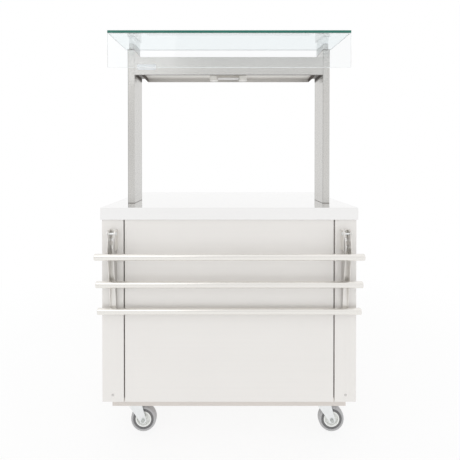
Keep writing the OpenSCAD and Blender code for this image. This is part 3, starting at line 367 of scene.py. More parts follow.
def moulded(name, colour, roughness, speckle, pores=0.02):
    """Moulded plastic, rubber or fired ceramic: small tone changes and a fine skin."""
    material, tree = new_material(name)
    fine = tree.noise(tree.place(), 900.0, 2.0, 0.5)
    broad = tree.noise(tree.place(), 38.0, 3.0, 0.55)
    tone = tree.blend(broad * 0.7 + fine * 0.3, shade(colour, 1 - speckle), shade(colour, 1 + speckle))
    rough = roughness - 0.05 + broad * 0.10
    height = fine * (pores * MM)
    bump = tree.node("ShaderNodeBump", {}, {"Height": height, "Strength": 0.4, "Distance": 1.0})
    tree.surface(tree.node("ShaderNodeBsdfPrincipled", {}, {
        "Base Color": tone, "Roughness": rough, "Normal": bump}))
    return material


def tyre_rubber(look):
    """Non-marking rubber: a light tread round a darker side ring, with dust in the pores."""
    material, tree = new_material("tyre_rubber")
    radius = tree.node("ShaderNodeAttribute", {"attribute_name": "axle_distance"}, output="Fac")
    outside = radius > look.ring_edge
    fine = tree.noise(tree.place(), 700.0, 3.0, 0.6)
    dust = tree.noise(tree.place(), 60.0, 4.0, 0.6)
    tone = tree.blend(outside, tuple(look.wall), tuple(look.tread))
    dusty = tree.blend(dust * 0.22, tone, (0.50, 0.49, 0.47))
    rough = 0.58 + dust * 0.16
    bump = tree.node("ShaderNodeBump", {}, {"Height": fine * (0.06 * MM), "Strength": 0.5, "Distance": 1.0})
    tree.surface(tree.node("ShaderNodeBsdfPrincipled", {}, {
        "Base Color": dusty, "Roughness": rough, "Normal": bump}))
    return material


GREEN_BAND = 3 * MM
EDGE_LIMIT = 0.6
EDGE_SLOPE = 8.0


def edged_glass(name, look, face, across, greened):
    """Clear float glass with pale edges, found by the way they face, and a green front edge if asked."""
    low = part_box(name)[0]
    material, tree = new_material(name)
    facing = tree.node("ShaderNodeTexCoord", output="Normal")
    parts = tree.node("ShaderNodeSeparateXYZ", {}, {"Vector": facing}, across)
    edge = tree.node("ShaderNodeClamp", {}, {"Value": (EDGE_LIMIT - parts * parts) * EDGE_SLOPE})
    film = tree.noise(tree.place(), 7.0, 4.0, 0.6)
    clear = tree.node("ShaderNodeBsdfPrincipled", {}, {
        "Base Color": tree.blend(film, face, shade(face, 1.01)),
        "Roughness": film * 0.03, "IOR": 1.5, "Transmission Weight": 1.0})
    streak = tree.noise(tree.place((14, 260, 260)), 1.0, 3.0, 0.6)
    deep = tree.blend(streak, shade(look.edge, 0.75), shade(look.edge, 1.5))
    depth = tree.node("ShaderNodeSeparateXYZ", {}, {"Vector": tree.place()}, "Y")
    front = 1 - (depth > low.y + GREEN_BAND)
    tone = tree.blend(front * float(greened), tuple(look.edge_pale), deep)
    solid = tree.node("ShaderNodeBsdfPrincipled", {}, {"Base Color": tone, "Roughness": 0.12 + film * 0.1})
    mixed = tree.node("ShaderNodeMixShader", {}, {0: edge * look.edge_cover, 1: clear, 2: solid})
    tree.surface(mixed)
    return material


def core_board():
    """Raw stiffening board with a stretched grain."""
    material, tree = new_material("core_board")
    grain = tree.noise(tree.place((9, 160, 160)), 1.0, 5.0, 0.6)
    tone = tree.blend(grain, (0.42, 0.29, 0.17), (0.66, 0.52, 0.35))
    bump = tree.node("ShaderNodeBump", {}, {"Height": grain * (0.2 * MM), "Strength": 0.5, "Distance": 1.0})
    tree.surface(tree.node("ShaderNodeBsdfPrincipled", {}, {
        "Base Color": tone, "Roughness": 0.7 + grain * 0.15, "Normal": bump}))
    return material


def lamp_quartz():
    """Frosted lamp tube."""
    material, tree = new_material("lamp_quartz")
    haze = tree.noise(tree.place((30, 90, 90)), 1.0, 3.0, 0.5)
    tree.surface(tree.node("ShaderNodeBsdfPrincipled", {}, {
        "Base Color": tree.blend(haze, (0.95, 0.95, 0.95), (1, 1, 1)), "Roughness": 0.15 + haze * 0.12,
        "IOR": 1.46, "Transmission Weight": 0.15}))
    return material


MATERIALS = {}

# Brushed finishes: colour setting, share of it, grain axis, wave, roughness and metallic. Where the last two
# are missing, the sheet's own settings hold.
BRUSHED = {
    "sheet_x": ("sheet", 1, "X", 0.12),
    "sheet_z": ("sheet", 1, "Z", 0.12),
    "base": ("base", 1, "X", 0),
    "worktop": ("top", 1, "X", 0, 0.12, 1),
    "post_left": ("post", 1, "Z", 0, 0.27, 1),
    "post_right": ("post", 1, "Z", 0, 0.27, 1),
    "canopy": ("post", 1, "X", 0.05, 0.25, 1),
    # The canopy's rear wall inside takes this darker copy of the bracket colour as painted shade.
    "canopy_back": ("frame", 0.72, "X", 0, 0.5, 0.5),
    # The canopy brackets take this half-bright copy of the bracket colour as painted shade.
    "canopy_frame": ("frame", 0.5, "X", 0, 0.5, 0.5),
    "ceiling": ("tube", 1, "X", 0, 0.4, 0.4),
    # The dull finish is painted shade: dark faces where shade falls inside the canopy and behind the panel joints.
    "dull": ("dull", 1, "X", 0, 0.6, 0.3),
    "bracket": ("frame", 1, "Z", 0, 0.3, 1),
    "arm": ("frame", 1.02, "Z", 0, 0.35, 0.7),
    # The arms' outer cheeks take this darker copy of the arm finish as painted shade.
    "arm_side": ("frame", 0.7, "Z", 0, 0.35, 0.7),
    "hidden_frame": ("frame", 1, "X", 0, 0.42, 1),
    "tube": ("tube", 1, "X", 0, 0.19, 1),
}


def post_shade_lines(node, steel):
    """Painted shade on a post: darker sides, and dark lines at its rounded corners, its foot joint and its top
    end.
    """
    low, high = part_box(node)
    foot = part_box("worktop")[1].z
    front_skin, rear_skin = 0.3 * MM, 0.4 * MM
    left_shade, rear_shade, foot_shade, cap_shade = 2.2 * MM, 5 * MM, 1.5 * MM, 2.5 * MM
    return (
        ("Y", low.y + front_skin, high.y - rear_skin, shade(steel.post, 0.93)),
        ("X", low.x + front_skin, low.x + left_shade, shade(steel.post, 0.7)),
        ("Y", high.y - rear_shade, high.y - rear_skin, shade(steel.post, 0.55)),
        ("Z", foot - MM, foot + foot_shade, tuple(steel.dull)),
        ("Z", high.z - cap_shade, high.z + MM, tuple(steel.dull)),
    )


def canopy_shade_line(steel):
    """Painted shade: a dark line along the fold at the canopy's lower edge, standing for the fold's shadowed
    underside.
    """
    bottom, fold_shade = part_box("canopy_housing")[0].z, 2.5 * MM
    return (("Z", bottom - MM, bottom + fold_shade, shade(steel.post, 0.4)),)


def brushed_finish(name, steel):
    """One of the brushed finishes."""
    setting, share, along, wave, *surface = BRUSHED[name]
    roughness, metallic = surface or (steel.sheet_roughness, steel.sheet_metallic)
    # The posts and the canopy carry strips of painted shade.
    strips = ()
    if name in ("post_left", "post_right"):
        strips = post_shade_lines(name, steel)
    elif name == "canopy":
        strips = canopy_shade_line(steel)
    colour = shade(getattr(steel, setting), share)
    return brushed_steel(name, colour, roughness, along, steel.grain, wave, metallic, strips)


def finish_named(name):
    """A finish by name, made once from the scene's settings."""
    if name in MATERIALS:
        return MATERIALS[name]
    scene = bpy.context.scene
    steel, glass, castors = scene.counter_steel, scene.counter_glass, scene.counter_castors
    makers = {
        "zinc": lambda: plated_steel(name, tuple(steel.zinc), 0.3),
        "bolt": lambda: plated_steel(name, (0.94, 0.95, 0.96), 0.2),
        "axle": lambda: plated_steel(name, (0.55, 0.57, 0.55), 0.3),
        "tyre": lambda: tyre_rubber(castors),
        "core": lambda: moulded(name, tuple(castors.core), 0.35, 0.04),
        "ceramic": lambda: moulded(name, (0.86, 0.85, 0.82), 0.3, 0.03),
        "black": lambda: moulded(name, (0.03, 0.03, 0.032), 0.34, 0.2, 0.04),
        "seal": lambda: moulded(name, (0.80, 0.82, 0.82), 0.4, 0.04),
        "support": lambda: moulded(name, (0.90, 0.92, 0.91), 0.3, 0.03),
        "label": lambda: moulded(name, (0.92, 0.94, 0.96), 0.3, 0.02),
        "top_glass": lambda: edged_glass(name, glass, tuple(glass.face), "Z", True),
        "front_glass": lambda: edged_glass(name, glass, tuple(glass.pane), "Y", False),
        "quartz": lamp_quartz,
        "board": core_board,
    }
    MATERIALS[name] = brushed_finish(name, steel) if name in BRUSHED else makers[name]()
    return MATERIALS[name]


# Mesh building

MERGE_DISTANCE = 0.001 * MM
FLAT_ANGLE = math.radians(0.5)
SHARP_ANGLE = math.radians(32)
BEVEL_ANGLE = math.radians(40)

# Edge roundings that don't follow the sheet's own
PIN_ROUND = 0.3 * MM
SMALL_ROUND = 0.4 * MM
FORK_ROUND = 0.8 * MM
HOLDER_ROUND = 1.2 * MM

# A face looks down or to the front where its normal is below TURNED, and to the middle where its normal times
# its place is below INWARD
TURNED = -0.5
INWARD = -0.1 * MM


def settle(obj, body, slot, *nodes):
    """Ties a finished piece to its body and lets it stand for CAD nodes, which it hides. The record slot is not
    used.
    """
    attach(obj, body)
    if nodes:
        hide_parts(*nodes)
    return obj


def link_mesh(name, mesh):
    """A new object in the scene that holds the mesh."""
    obj = bpy.data.objects.new(name, mesh)
    bpy.context.scene.collection.objects.link(obj)
    return obj


def mark_sharp(work):
    """Smooth faces with sharp edges wherever two faces meet at more than the sharp angle."""
    for face in work.faces:
        face.smooth = True
    for edge in work.edges:
        edge.smooth = edge.is_manifold and edge.calc_face_angle(math.pi) < SHARP_ANGLE


def softened(node, finish, rounding, segments=2):
    """A merged copy of a CAD node with its edges rounded, standing for the node."""
    mesh = NODES[node].data.copy()
    work = bmesh.new()
    work.from_mesh(mesh)
    bmesh.ops.remove_doubles(work, verts=work.verts, dist=MERGE_DISTANCE)
    bmesh.ops.dissolve_limit(work, angle_limit=FLAT_ANGLE, verts=work.verts, edges=work.edges)
    mark_sharp(work)
    work.to_mesh(mesh)
    work.free()
    mesh.materials.clear()
    mesh.materials.append(finish_named(finish))
    obj = link_mesh("look_" + node, mesh)
    if rounding:
        bevel = obj.modifiers.new("rounded edges", "BEVEL")
        bevel.width = rounding
        bevel.segments = segments
        bevel.limit_method = "ANGLE"
        bevel.angle_limit = BEVEL_ANGLE
        bevel.use_clamp_overlap = False
        bevel.harden_normals = True
    return settle(obj, BODY_OF[node], SLOT_OF[node], node)


def refinish(obj, finish, test):
    """Gives the faces of a piece that pass a test another finish."""
    obj.data.materials.append(finish_named(finish))
    for face in obj.data.polygons:
        if test(face):
            face.material_index = len(obj.data.materials) - 1


def painted(node, finish):
    """Gives a CAD node, kept as it is, its finish."""
    mesh = NODES[node].data
    mesh.materials.clear()
    mesh.materials.append(finish_named(finish))


def points_object(name, places):
    """An object of loose vertices, for a geometry node tree to work on."""
    mesh = bpy.data.meshes.new(name)
    mesh.from_pydata([tuple(place) for place in places], [], [])
    return link_mesh(name, mesh)


# Geometry Nodes

class NodeGroup:
    """A geometry node tree with named inputs."""

    def __init__(self, name, inputs):
        self.tree = bpy.data.node_groups.new(name, "GeometryNodeTree")
        self.tree.interface.new_socket("Geometry", in_out="INPUT", socket_type="NodeSocketGeometry")
        for label, kind in inputs.items():
            self.tree.interface.new_socket(label, in_out="INPUT", socket_type=kind)
        self.tree.interface.new_socket("Geometry", in_out="OUTPUT", socket_type="NodeSocketGeometry")
        self.inputs = self.tree.nodes.new("NodeGroupInput")

    def node(self, kind, settings=None, sockets=None):
        made = self.tree.nodes.new(kind)
        for name, setting in (settings or {}).items():
            setattr(made, name, setting)
        for name, value in (sockets or {}).items():
            if isinstance(value, bpy.types.NodeSocket):
                self.tree.links.new(value, made.inputs[name])
            else:
                made.inputs[name].default_value = value
        return made

    def close(self, geometry):
        """Realizes the instances, sets the material and ends the tree."""
        real = self.node("GeometryNodeRealizeInstances", {}, {"Geometry": geometry})
        dressed = self.node("GeometryNodeSetMaterial", {}, {
            "Geometry": real.outputs[0], "Material": self.inputs.outputs["Material"]})
        self.node("NodeGroupOutput", {}, {"Geometry": dressed.outputs[0]})
        return self.tree


def grown(obj, tree, values, name):
    """Runs a geometry node tree on an object and returns the result as a plain mesh object."""
    modifier = obj.modifiers.new(name, "NODES")
    modifier.node_group = tree
    for item in tree.interface.items_tree:
        if item.in_out == "INPUT" and item.name in values:
            modifier[item.identifier] = values[item.name]
    obj.update_tag()
    graph = bpy.context.evaluated_depsgraph_get()
    mesh = bpy.data.meshes.new_from_object(
        obj.evaluated_get(graph), preserve_all_data_layers=True, depsgraph=graph)
    bpy.data.objects.remove(obj)
    made = link_mesh(name, mesh)
    work = bmesh.new()
    work.from_mesh(mesh)
    bmesh.ops.remove_doubles(work, verts=work.verts, dist=MERGE_DISTANCE)
    bmesh.ops.recalc_face_normals(work, faces=work.faces)
    mark_sharp(work)
    work.to_mesh(mesh)
    work.free()
    return made


WASHER_SPREAD = 1.22
WASHER_SHARE = 0.22
WASHER_SIDES = 28


def head_tree():
    """Instances a domed or hexagonal head with a washer on each point, turned to one direction."""
    group = NodeGroup("fastener_heads", {
        "Head radius": "NodeSocketFloat", "Head height": "NodeSocketFloat", "Sides": "NodeSocketInt",
        "Crown": "NodeSocketFloat", "Turn": "NodeSocketVector", "Material": "NodeSocketMaterial"})
    given = group.inputs.outputs
    times = {"operation": "MULTIPLY"}
    top = group.node("ShaderNodeMath", times, {0: given["Head radius"], 1: given["Crown"]})
    head = group.node("GeometryNodeMeshCone", {"fill_type": "NGON"}, {
        "Vertices": given["Sides"], "Radius Top": top.outputs[0], "Radius Bottom": given["Head radius"],
        "Depth": given["Head height"]})
    spread = group.node("ShaderNodeMath", times, {0: given["Head radius"], 1: WASHER_SPREAD})
    thin = group.node("ShaderNodeMath", times, {0: given["Head height"], 1: WASHER_SHARE})
    washer = group.node("GeometryNodeMeshCylinder", {"fill_type": "NGON"}, {
        "Vertices": WASHER_SIDES, "Radius": spread.outputs[0], "Depth": thin.outputs[0]})
    half = group.node("ShaderNodeMath", times, {0: thin.outputs[0], 1: 0.5})
    lift = group.node("ShaderNodeCombineXYZ", {}, {"Z": half.outputs[0]})
    seat = group.node("GeometryNodeTransform", {}, {
        "Geometry": washer.outputs[0], "Translation": lift.outputs[0]})
    joined = group.node("GeometryNodeJoinGeometry")
    group.tree.links.new(head.outputs[0], joined.inputs[0])
    group.tree.links.new(seat.outputs[0], joined.inputs[0])
    turned = group.node("GeometryNodeTransform", {}, {
        "Geometry": joined.outputs[0], "Rotation": given["Turn"]})
    placed = group.node("GeometryNodeInstanceOnPoints", {}, {
        "Points": given["Geometry"], "Instance": turned.outputs[0]})
    return group.close(placed.outputs[0])


COIL_STEPS = 14
WIRE_SIDES = 6
WIRE_RADIUS = 0.3 * MM
COIL_SHARE = 0.6


def coil_tree():
    """Sweeps a wire along a helix that lies on the X axis of its single input point."""
    group = NodeGroup("filament_coil", {
        "Turns": "NodeSocketFloat", "Coil radius": "NodeSocketFloat", "Length": "NodeSocketFloat",
        "Wire radius": "NodeSocketFloat", "Material": "NodeSocketMaterial"})
    given = group.inputs.outputs
    helix = group.node("GeometryNodeCurveSpiral", {}, {
        "Resolution": COIL_STEPS, "Rotations": given["Turns"], "Start Radius": given["Coil radius"],
        "End Radius": given["Coil radius"], "Height": given["Length"]})
    half = group.node("ShaderNodeMath", {"operation": "MULTIPLY"}, {0: given["Length"], 1: -0.5})
    back = group.node("ShaderNodeCombineXYZ", {}, {"X": half.outputs[0]})
    laid = group.node("GeometryNodeTransform", {}, {
        "Geometry": helix.outputs[0], "Rotation": (0, math.pi / 2, 0), "Translation": back.outputs[0]})
    section = group.node("GeometryNodeCurvePrimitiveCircle", {}, {
        "Resolution": WIRE_SIDES, "Radius": given["Wire radius"]})
    wire = group.node("GeometryNodeCurveToMesh", {}, {
        "Curve": laid.outputs[0], "Profile Curve": section.outputs[0], "Fill Caps": True})
    placed = group.node("GeometryNodeInstanceOnPoints", {}, {
        "Points": given["Geometry"], "Instance": wire.outputs[0]})
    return group.close(placed.outputs[0])


FACING = {"-Z": (math.pi, 0, 0), "-Y": (math.pi / 2, 0, 0), "+X": (0, math.pi / 2, 0),
          "-X": (0, -math.pi / 2, 0)}


def heads(name, places, facing, radius, height, sides=24, crown=0.72, finish="zinc"):
    """A set of screw or bolt heads on the counter, all facing one way."""
    tree = bpy.data.node_groups.get("fastener_heads") or head_tree()
    made = grown(points_object(name + "_points", places), tree, {
        "Head radius": radius, "Head height": height, "Sides": sides, "Crown": crown,
        "Turn": FACING[facing], "Material": finish_named(finish)}, name)
    return settle(made, "counter", "zinc_plate")


# Pieces

CASTORS = ("front_left", "front_right", "rear_left", "rear_right")


class COUNTER_OT_worktop(bpy.types.Operator):
    """Worktop and its core board"""

    bl_idname = "counter.worktop"
    bl_label = "Worktop"

    def execute(self, context):
        softened("worktop", "worktop", context.scene.counter_steel.edge_round, 3)
        painted("worktop_core", "board")
        return {"FINISHED"}


class COUNTER_OT_cupboard(bpy.types.Operator):
    """Panels, stiles, shelves and base of the cupboard, with the two corner screws"""

    bl_idname = "counter.cupboard"
    bl_label = "Cupboard"

    def execute(self, context):
        steel, sizes = context.scene.counter_steel, context.scene.counter_fasteners
        for node in ("side_panel_left", "side_panel_right"):
            softened(node, "sheet_z", steel.edge_round)
        for node in ("front_panel", "bottom_shelf", "middle_shelf"):
            softened(node, "sheet_x", steel.edge_round)
        softened("base_rails", "base", steel.edge_round)
        for node in ("rear_top_rail", "shelf_runners"):
            softened(node, "hidden_frame", steel.edge_round)
        # Painted shadow: the stiles behind the panel joints take the dark dull finish.
        softened("front_stiles", "dull", steel.edge_round)
        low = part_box("side_panel_left")[0]
        across, up = abs(low.x) - sizes.corner_screw_in, low.z + sizes.corner_screw_up
        places = [(side * across, low.y, up) for side in (-1, 1)]
        heads("corner_screws", places, "-Y", sizes.screw_radius, sizes.screw_height, finish="canopy")
        return {"FINISHED"}


class COUNTER_OT_doors(bpy.types.Operator):
    """Rear doors with their handles, hinge pins and catches"""

    bl_idname = "counter.doors"
    bl_label = "Doors"

    def execute(self, context):
        steel = context.scene.counter_steel
        for node in ("left_door", "right_door"):
            softened(node, "sheet_z", steel.edge_round)
        for node in ("left_door_handle", "right_door_handle"):
            softened(node, "tube", 0)
        softened("door_hinge_pins", "zinc", PIN_ROUND)
        softened("door_catches", "hidden_frame", steel.edge_round)
        return {"FINISHED"}


class COUNTER_OT_tray_slide(bpy.types.Operator):
    """Tray slide with its tubes, arms, brackets, pins and bolts"""

    bl_idname = "counter.tray_slide"
    bl_label = "Tray slide"

    def execute(self, context):
        steel = context.scene.counter_steel
        cheek = 5 * MM  # faces further out than this from an arm's middle are its outer cheeks
        for side in ("left", "right"):
            softened("tray_bracket_" + side, "bracket", steel.edge_round)
            arm = softened("tray_arm_" + side, "arm", steel.edge_round)
            low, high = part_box("tray_arm_" + side)
            middle = (low.x + high.x) / 2
            # Painted shade: the outer cheeks take a darker copy of the arm's finish.
            refinish(arm, "arm_side", lambda face: face.normal.x * (face.center.x - middle) > cheek)
        for node in ("tray_tube_top", "tray_tube_middle", "tray_tube_bottom", "tray_tube_caps"):
            softened(node, "tube", 0)
        softened("tray_pins", "zinc", SMALL_ROUND)
        softened("bracket_bolts", "bolt", SMALL_ROUND)
        return {"FINISHED"}


class COUNTER_OT_gantry(bpy.types.Operator):
    """Posts and glass supports"""

    bl_idname = "counter.gantry"
    bl_label = "Gantry"

    def execute(self, context):
        rounding = context.scene.counter_steel.edge_round
        # Each post's finish carries painted shade: darker sides and dark lines along its corners, at its foot and
        # at its top end.
        for node in ("post_left", "post_right"):
            softened(node, node, rounding)
        softened("glass_supports", "support", rounding)
        return {"FINISHED"}


class COUNTER_OT_canopy(bpy.types.Operator):
    """Canopy with its brackets, bracket screws, light switch and bare label plate"""

    bl_idname = "counter.canopy"
    bl_label = "Canopy"

    def execute(self, context):
        steel, sizes = context.scene.counter_steel, context.scene.counter_fasteners
        low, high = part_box("canopy_housing")
        housing_middle = (low.y + high.y) / 2
        housing = softened("canopy_housing", "canopy", steel.edge_round)
        # Painted shade: the housing's downward faces and the inner faces of its end walls take the dark dull
        # finish, and its rear wall's inner face a darker copy of the bracket colour.
        refinish(housing, "dull",
                 lambda face: face.normal.z < TURNED or face.normal.x * face.center.x < INWARD)
        refinish(housing, "canopy_back",
                 lambda face: face.normal.y < TURNED and face.center.y > housing_middle)
        softened("canopy_ceiling", "ceiling", steel.edge_round)
        # Painted shade: the canopy brackets are darkened, and their inner faces take the dark dull finish.
        brackets = softened("canopy_brackets", "canopy_frame", steel.edge_round)
        refinish(brackets, "dull", lambda face: face.normal.x * face.center.x < INWARD)
        softened("switch_body", "black", SMALL_ROUND)
        softened("switch_rocker", "black", SMALL_ROUND)
        near, far = (corner.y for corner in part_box("canopy_brackets"))
        reach, middle = (far - near) / 4, (far + near) / 2
        bracket_thickness, screw_rise = 3 * MM, 12 * MM
        inner = abs(low.x) - bracket_thickness
        height = (low.z + high.z) / 2 + screw_rise
        for side, facing in ((-1, "+X"), (1, "-X")):
            places = [(side * inner, middle + step * reach, height) for step in (-1, 1)]
            name = "bracket_screws_" + ("left" if side < 0 else "right")
            heads(name, places, facing, sizes.screw_radius, sizes.screw_height)
        self.label(low, sizes)
        return {"FINISHED"}

    def label(self, low, sizes):
        """Thin bare plate with rounded corners on the left of the canopy's face."""
        width, height = sizes.label_size
        left, bottom = low.x + sizes.label_in, low.z + sizes.label_up
        corner, thickness, steps = 2 * MM, 0.4 * MM, 4
        outline = []
        for cx, cz, start in ((width - corner, height - corner, 0), (corner, height - corner, 90),
                              (corner, corner, 180), (width - corner, corner, 270)):
            for step in range(steps + 1):
                turn = math.radians(start + step * 90 / steps)
                outline.append((left + cx + corner * math.cos(turn), bottom + cz + corner * math.sin(turn)))
        # Built in a fixed order, because the extrude operator orders its vertices differently at each run
        work = bmesh.new()
        front = [work.verts.new((x, low.y - thickness, z)) for x, z in outline]
        back = [work.verts.new((x, low.y, z)) for x, z in outline]
        work.faces.new(front)
        work.faces.new(back)
        for here in range(len(outline)):
            work.faces.new((front[here - 1], front[here], back[here], back[here - 1]))
        bmesh.ops.recalc_face_normals(work, faces=work.faces)
        mark_sharp(work)
        mesh = bpy.data.meshes.new("label_plate")
        work.to_mesh(mesh)
        work.free()
        mesh.materials.append(finish_named("label"))
        settle(link_mesh("label_plate", mesh), "counter", "steel_sheet")


class COUNTER_OT_lamp(bpy.types.Operator):
    """Lamp tube, its coil and its holders"""

    bl_idname = "counter.lamp"
    bl_label = "Lamp"

    def execute(self, context):
        look = context.scene.counter_glass
        softened("lamp_holders", "ceramic", HOLDER_ROUND, 3)
        softened("lamp_tube", "quartz", 0)
        low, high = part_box("lamp_tube")
        coil = grown(points_object("coil_point", [(low + high) / 2]), coil_tree(), {
            "Turns": float(look.coil_turns), "Coil radius": look.coil_radius,
            "Length": (high.x - low.x) * COIL_SHARE, "Wire radius": WIRE_RADIUS,
            "Material": finish_named("bolt")}, "lamp_coil")
        settle(coil, "counter", "steel_frame")
        return {"FINISHED"}


class COUNTER_OT_glass(bpy.types.Operator):
    """Top glass, front glass and their pads and bond"""

    bl_idname = "counter.glass"
    bl_label = "Glass"

    def execute(self, context):
        look = context.scene.counter_glass
        softened("top_glass", "top_glass", look.arris)
        softened("front_glass", "front_glass", look.pane_arris)
        painted("glass_seats", "seal")
        return {"FINISHED"}


class COUNTER_OT_castors(bpy.types.Operator):
    """Castors with their plates, forks, axles, wheels, pedals and plate bolts, and the cable gland"""

    bl_idname = "counter.castors"
    bl_label = "Castors"

    def execute(self, context):
        steel, sizes = context.scene.counter_steel, context.scene.counter_fasteners
        softened("castor_plates", "zinc", steel.edge_round)
        softened("cable_gland", "black", SMALL_ROUND)
        for side in ("left", "right"):
            softened("brake_pedal_" + side, "bracket", steel.edge_round)
        for corner in CASTORS:
            softened("fork_" + corner, "zinc", FORK_ROUND)
            softened("axle_" + corner, "axle", SMALL_ROUND)
            softened("core_" + corner, "core", SMALL_ROUND)
            self.tyre(corner)
        pitch_x, pitch_y = sizes.plate_bolt_pitch
        plate = 3 * MM
        places = []
        for corner in CASTORS:
            x, y, z = JOINT["swivel_" + corner]["pos_m"]
            for dx in (-pitch_x / 2, pitch_x / 2):
                for dy in (-pitch_y / 2, pitch_y / 2):
                    places.append((x + dx, y + dy, z - plate))
        heads("castor_plate_bolts", places, "-Z", sizes.plate_bolt_radius, sizes.plate_bolt_height,
              sides=6, crown=0.94)
        return {"FINISHED"}

    def tyre(self, corner):
        """Tyre whose vertices carry their distance from the axle, for the two rubbers."""
        tyre = softened("tyre_" + corner, "tyre", 0)
        x, _, z = JOINT["roll_" + corner]["pos_m"]
        distance = tyre.data.attributes.new("axle_distance", "FLOAT", "POINT")
        for vertex in tyre.data.vertices:
            distance.data[vertex.index].value = math.hypot(vertex.co.x - x, vertex.co.z - z)


FLOOR_RADIUS = 14
FLOOR_SIDES = 96
FLOOR_DROP = 0.3 * MM
FLOOR_FADE = (0.9, 2.4)

# How metal sees the surround: share from behind, share from above, share all round
SURROUND_SHARES = (0.5, 0.45, 0.5)
ZENITH_START = 0.85
ZENITH_SLOPE = 8.0

# Area lamps: place, target, size in metres, and the setting that holds the power
LAMPS = {
    "key": ((-2.0, -2.7, 3.5), (-1.2, 0, 1.2), 3.2, "key_power"),
    "fill_left": ((-3.0, -0.8, 1.9), (0, 0, 0.9), 1.8, "fill_power"),
    "fill_right": ((3.0, -0.8, 1.9), (0, 0, 0.9), 1.8, "fill_power"),
}


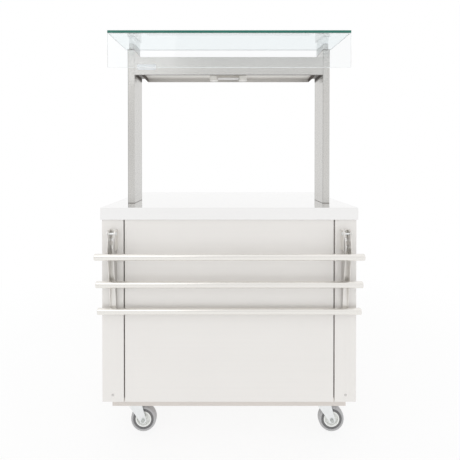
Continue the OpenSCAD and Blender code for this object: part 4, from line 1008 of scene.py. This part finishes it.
class COUNTER_OT_stage(bpy.types.Operator):
    """Floor, white surround, lamps and camera"""

    bl_idname = "counter.stage"
    bl_label = "Stage"

    def execute(self, context):
        look = context.scene.counter_stage
        context.scene.view_settings.view_transform = "Standard"
        self.surround(context.scene, look)
        self.floor(look)
        self.lamps(look)
        self.camera(context.scene, look)
        return {"FINISHED"}

    def surround(self, scene, look):
        """White to the eye and through glass, brighter above and behind than on the room side in metal."""
        scene.world = bpy.data.worlds.new("surround")
        tree = ShaderTree(scene.world)
        path = {key: tree.node("ShaderNodeLightPath", output=key)
                for key in ("Is Camera Ray", "Is Glossy Ray", "Is Transmission Ray")}
        ray = tree.node("ShaderNodeTexCoord", output="Generated")
        behind = tree.node("ShaderNodeSeparateXYZ", {}, {"Vector": ray}, "Y")
        above = tree.node("ShaderNodeSeparateXYZ", {}, {"Vector": ray}, "Z")
        beside = tree.node("ShaderNodeSeparateXYZ", {}, {"Vector": ray}, "X")
        back, top, level = SURROUND_SHARES
        bright = tree.node("ShaderNodeClamp", {}, {"Value": behind * back + above * top + level})
        seen = tree.node("ShaderNodeClamp", {}, {
            "Value": path["Is Camera Ray"] + path["Is Transmission Ray"]})
        zenith = tree.node("ShaderNodeClamp", {}, {"Value": (above - ZENITH_START) * ZENITH_SLOPE})
        metal = (look.room + bright * (1 - look.room) + beside * (1 - bright) * look.room_side
                 + zenith * look.overhead)
        shown = path["Is Glossy Ray"] * (metal - look.sky) + look.sky
        strength = seen * (1 - shown) + shown
        background = tree.node("ShaderNodeBackground", {}, {"Color": (1, 1, 1, 1), "Strength": strength})
        tree.node("ShaderNodeOutputWorld", {}, {"Surface": background})

    def floor(self, look):
        """Round pale floor that keeps the shadow and runs out to plain white."""
        work = bmesh.new()
        bmesh.ops.create_circle(work, cap_ends=True, segments=FLOOR_SIDES, radius=FLOOR_RADIUS)
        bmesh.ops.translate(work, verts=work.verts, vec=(0, 0, -FLOOR_DROP))
        mesh = bpy.data.meshes.new("floor")
        work.to_mesh(mesh)
        work.free()
        material, tree = new_material("floor")
        near, far = FLOOR_FADE
        flat = tree.place((1, 1, 0))
        away = tree.node("ShaderNodeVectorMath", {"operation": "LENGTH"}, {0: flat}, "Value")
        fade = tree.node("ShaderNodeMapRange", {"interpolation_type": "SMOOTHSTEP"}, {
            "Value": away, "From Min": near, "From Max": far, "To Min": look.floor_glow})
        grit = tree.noise(tree.place(), 30.0, 3.0, 0.5)
        tone = tree.blend(grit, shade(look.floor, 0.995), tuple(look.floor))
        matt = tree.node("ShaderNodeBsdfDiffuse", {}, {"Color": tone})
        white = tree.node("ShaderNodeEmission", {}, {"Color": (1, 1, 1, 1), "Strength": 1.0})
        tree.surface(tree.node("ShaderNodeMixShader", {}, {0: fade, 1: matt, 2: white}))
        mesh.materials.append(material)
        link_mesh("floor", mesh)

    def lamps(self, look):
        """One large lamp above the front and one at each side."""
        for name, (place, target, size, power) in LAMPS.items():
            light = bpy.data.lights.new(name, "AREA")
            light.shape = "SQUARE"
            light.size = size
            light.energy = getattr(look, power)
            lamp = bpy.data.objects.new(name, light)
            bpy.context.scene.collection.objects.link(lamp)
            lamp.location = place
            lamp.rotation_euler = (Vector(target) - Vector(place)).to_track_quat("-Z", "Y").to_euler()

    def camera(self, scene, look):
        """Camera at the photograph's height and distance."""
        data = bpy.data.cameras.new("camera")
        data.lens = look.camera_lens
        data.shift_x, data.shift_y = look.camera_shift
        camera = bpy.data.objects.new("camera", data)
        scene.collection.objects.link(camera)
        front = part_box("worktop")[0].y
        camera.location = (look.camera_side, front - look.camera_distance, look.camera_height)
        camera.rotation_euler = (math.pi / 2 - look.camera_tilt, 0, 0)
        scene.camera = camera


# Registration

PROPERTIES = {
    "counter_steel": SteelLook,
    "counter_glass": GlassLook,
    "counter_castors": CastorLook,
    "counter_fasteners": FastenerSizes,
    "counter_stage": StageLook,
}
OPERATORS = (
    COUNTER_OT_worktop, COUNTER_OT_cupboard, COUNTER_OT_doors, COUNTER_OT_tray_slide, COUNTER_OT_gantry,
    COUNTER_OT_canopy, COUNTER_OT_lamp, COUNTER_OT_glass, COUNTER_OT_castors, COUNTER_OT_stage,
)


class COUNTER_PT_pieces(bpy.types.Panel):
    """Lists the counter's pieces and settings"""

    bl_label = "Serving Counter"
    bl_idname = "COUNTER_PT_pieces"
    bl_space_type = "VIEW_3D"
    bl_region_type = "UI"
    bl_category = "Counter"

    def draw(self, context):
        for operator in OPERATORS:
            self.layout.operator(operator.bl_idname)
        for name, group in PROPERTIES.items():
            box = self.layout.box()
            for field in group.__annotations__:
                box.prop(getattr(context.scene, name), field)


CLASSES = (*PROPERTIES.values(), *OPERATORS, COUNTER_PT_pieces)


def register():
    for cls in CLASSES:
        bpy.utils.register_class(cls)
    for name, group in PROPERTIES.items():
        setattr(bpy.types.Scene, name, bpy.props.PointerProperty(type=group))


def unregister():
    for name in PROPERTIES:
        delattr(bpy.types.Scene, name)
    for cls in reversed(CLASSES):
        bpy.utils.unregister_class(cls)


def write_sizes():
    bpy.context.view_layer.update()


def main():
    register()
    bpy.ops.counter.worktop()
    bpy.ops.counter.cupboard()
    bpy.ops.counter.doors()
    bpy.ops.counter.tray_slide()
    bpy.ops.counter.gantry()
    bpy.ops.counter.canopy()
    bpy.ops.counter.lamp()
    bpy.ops.counter.glass()
    bpy.ops.counter.castors()
    bpy.ops.counter.stage()
    write_sizes()


if __name__ == "__main__":
    main()
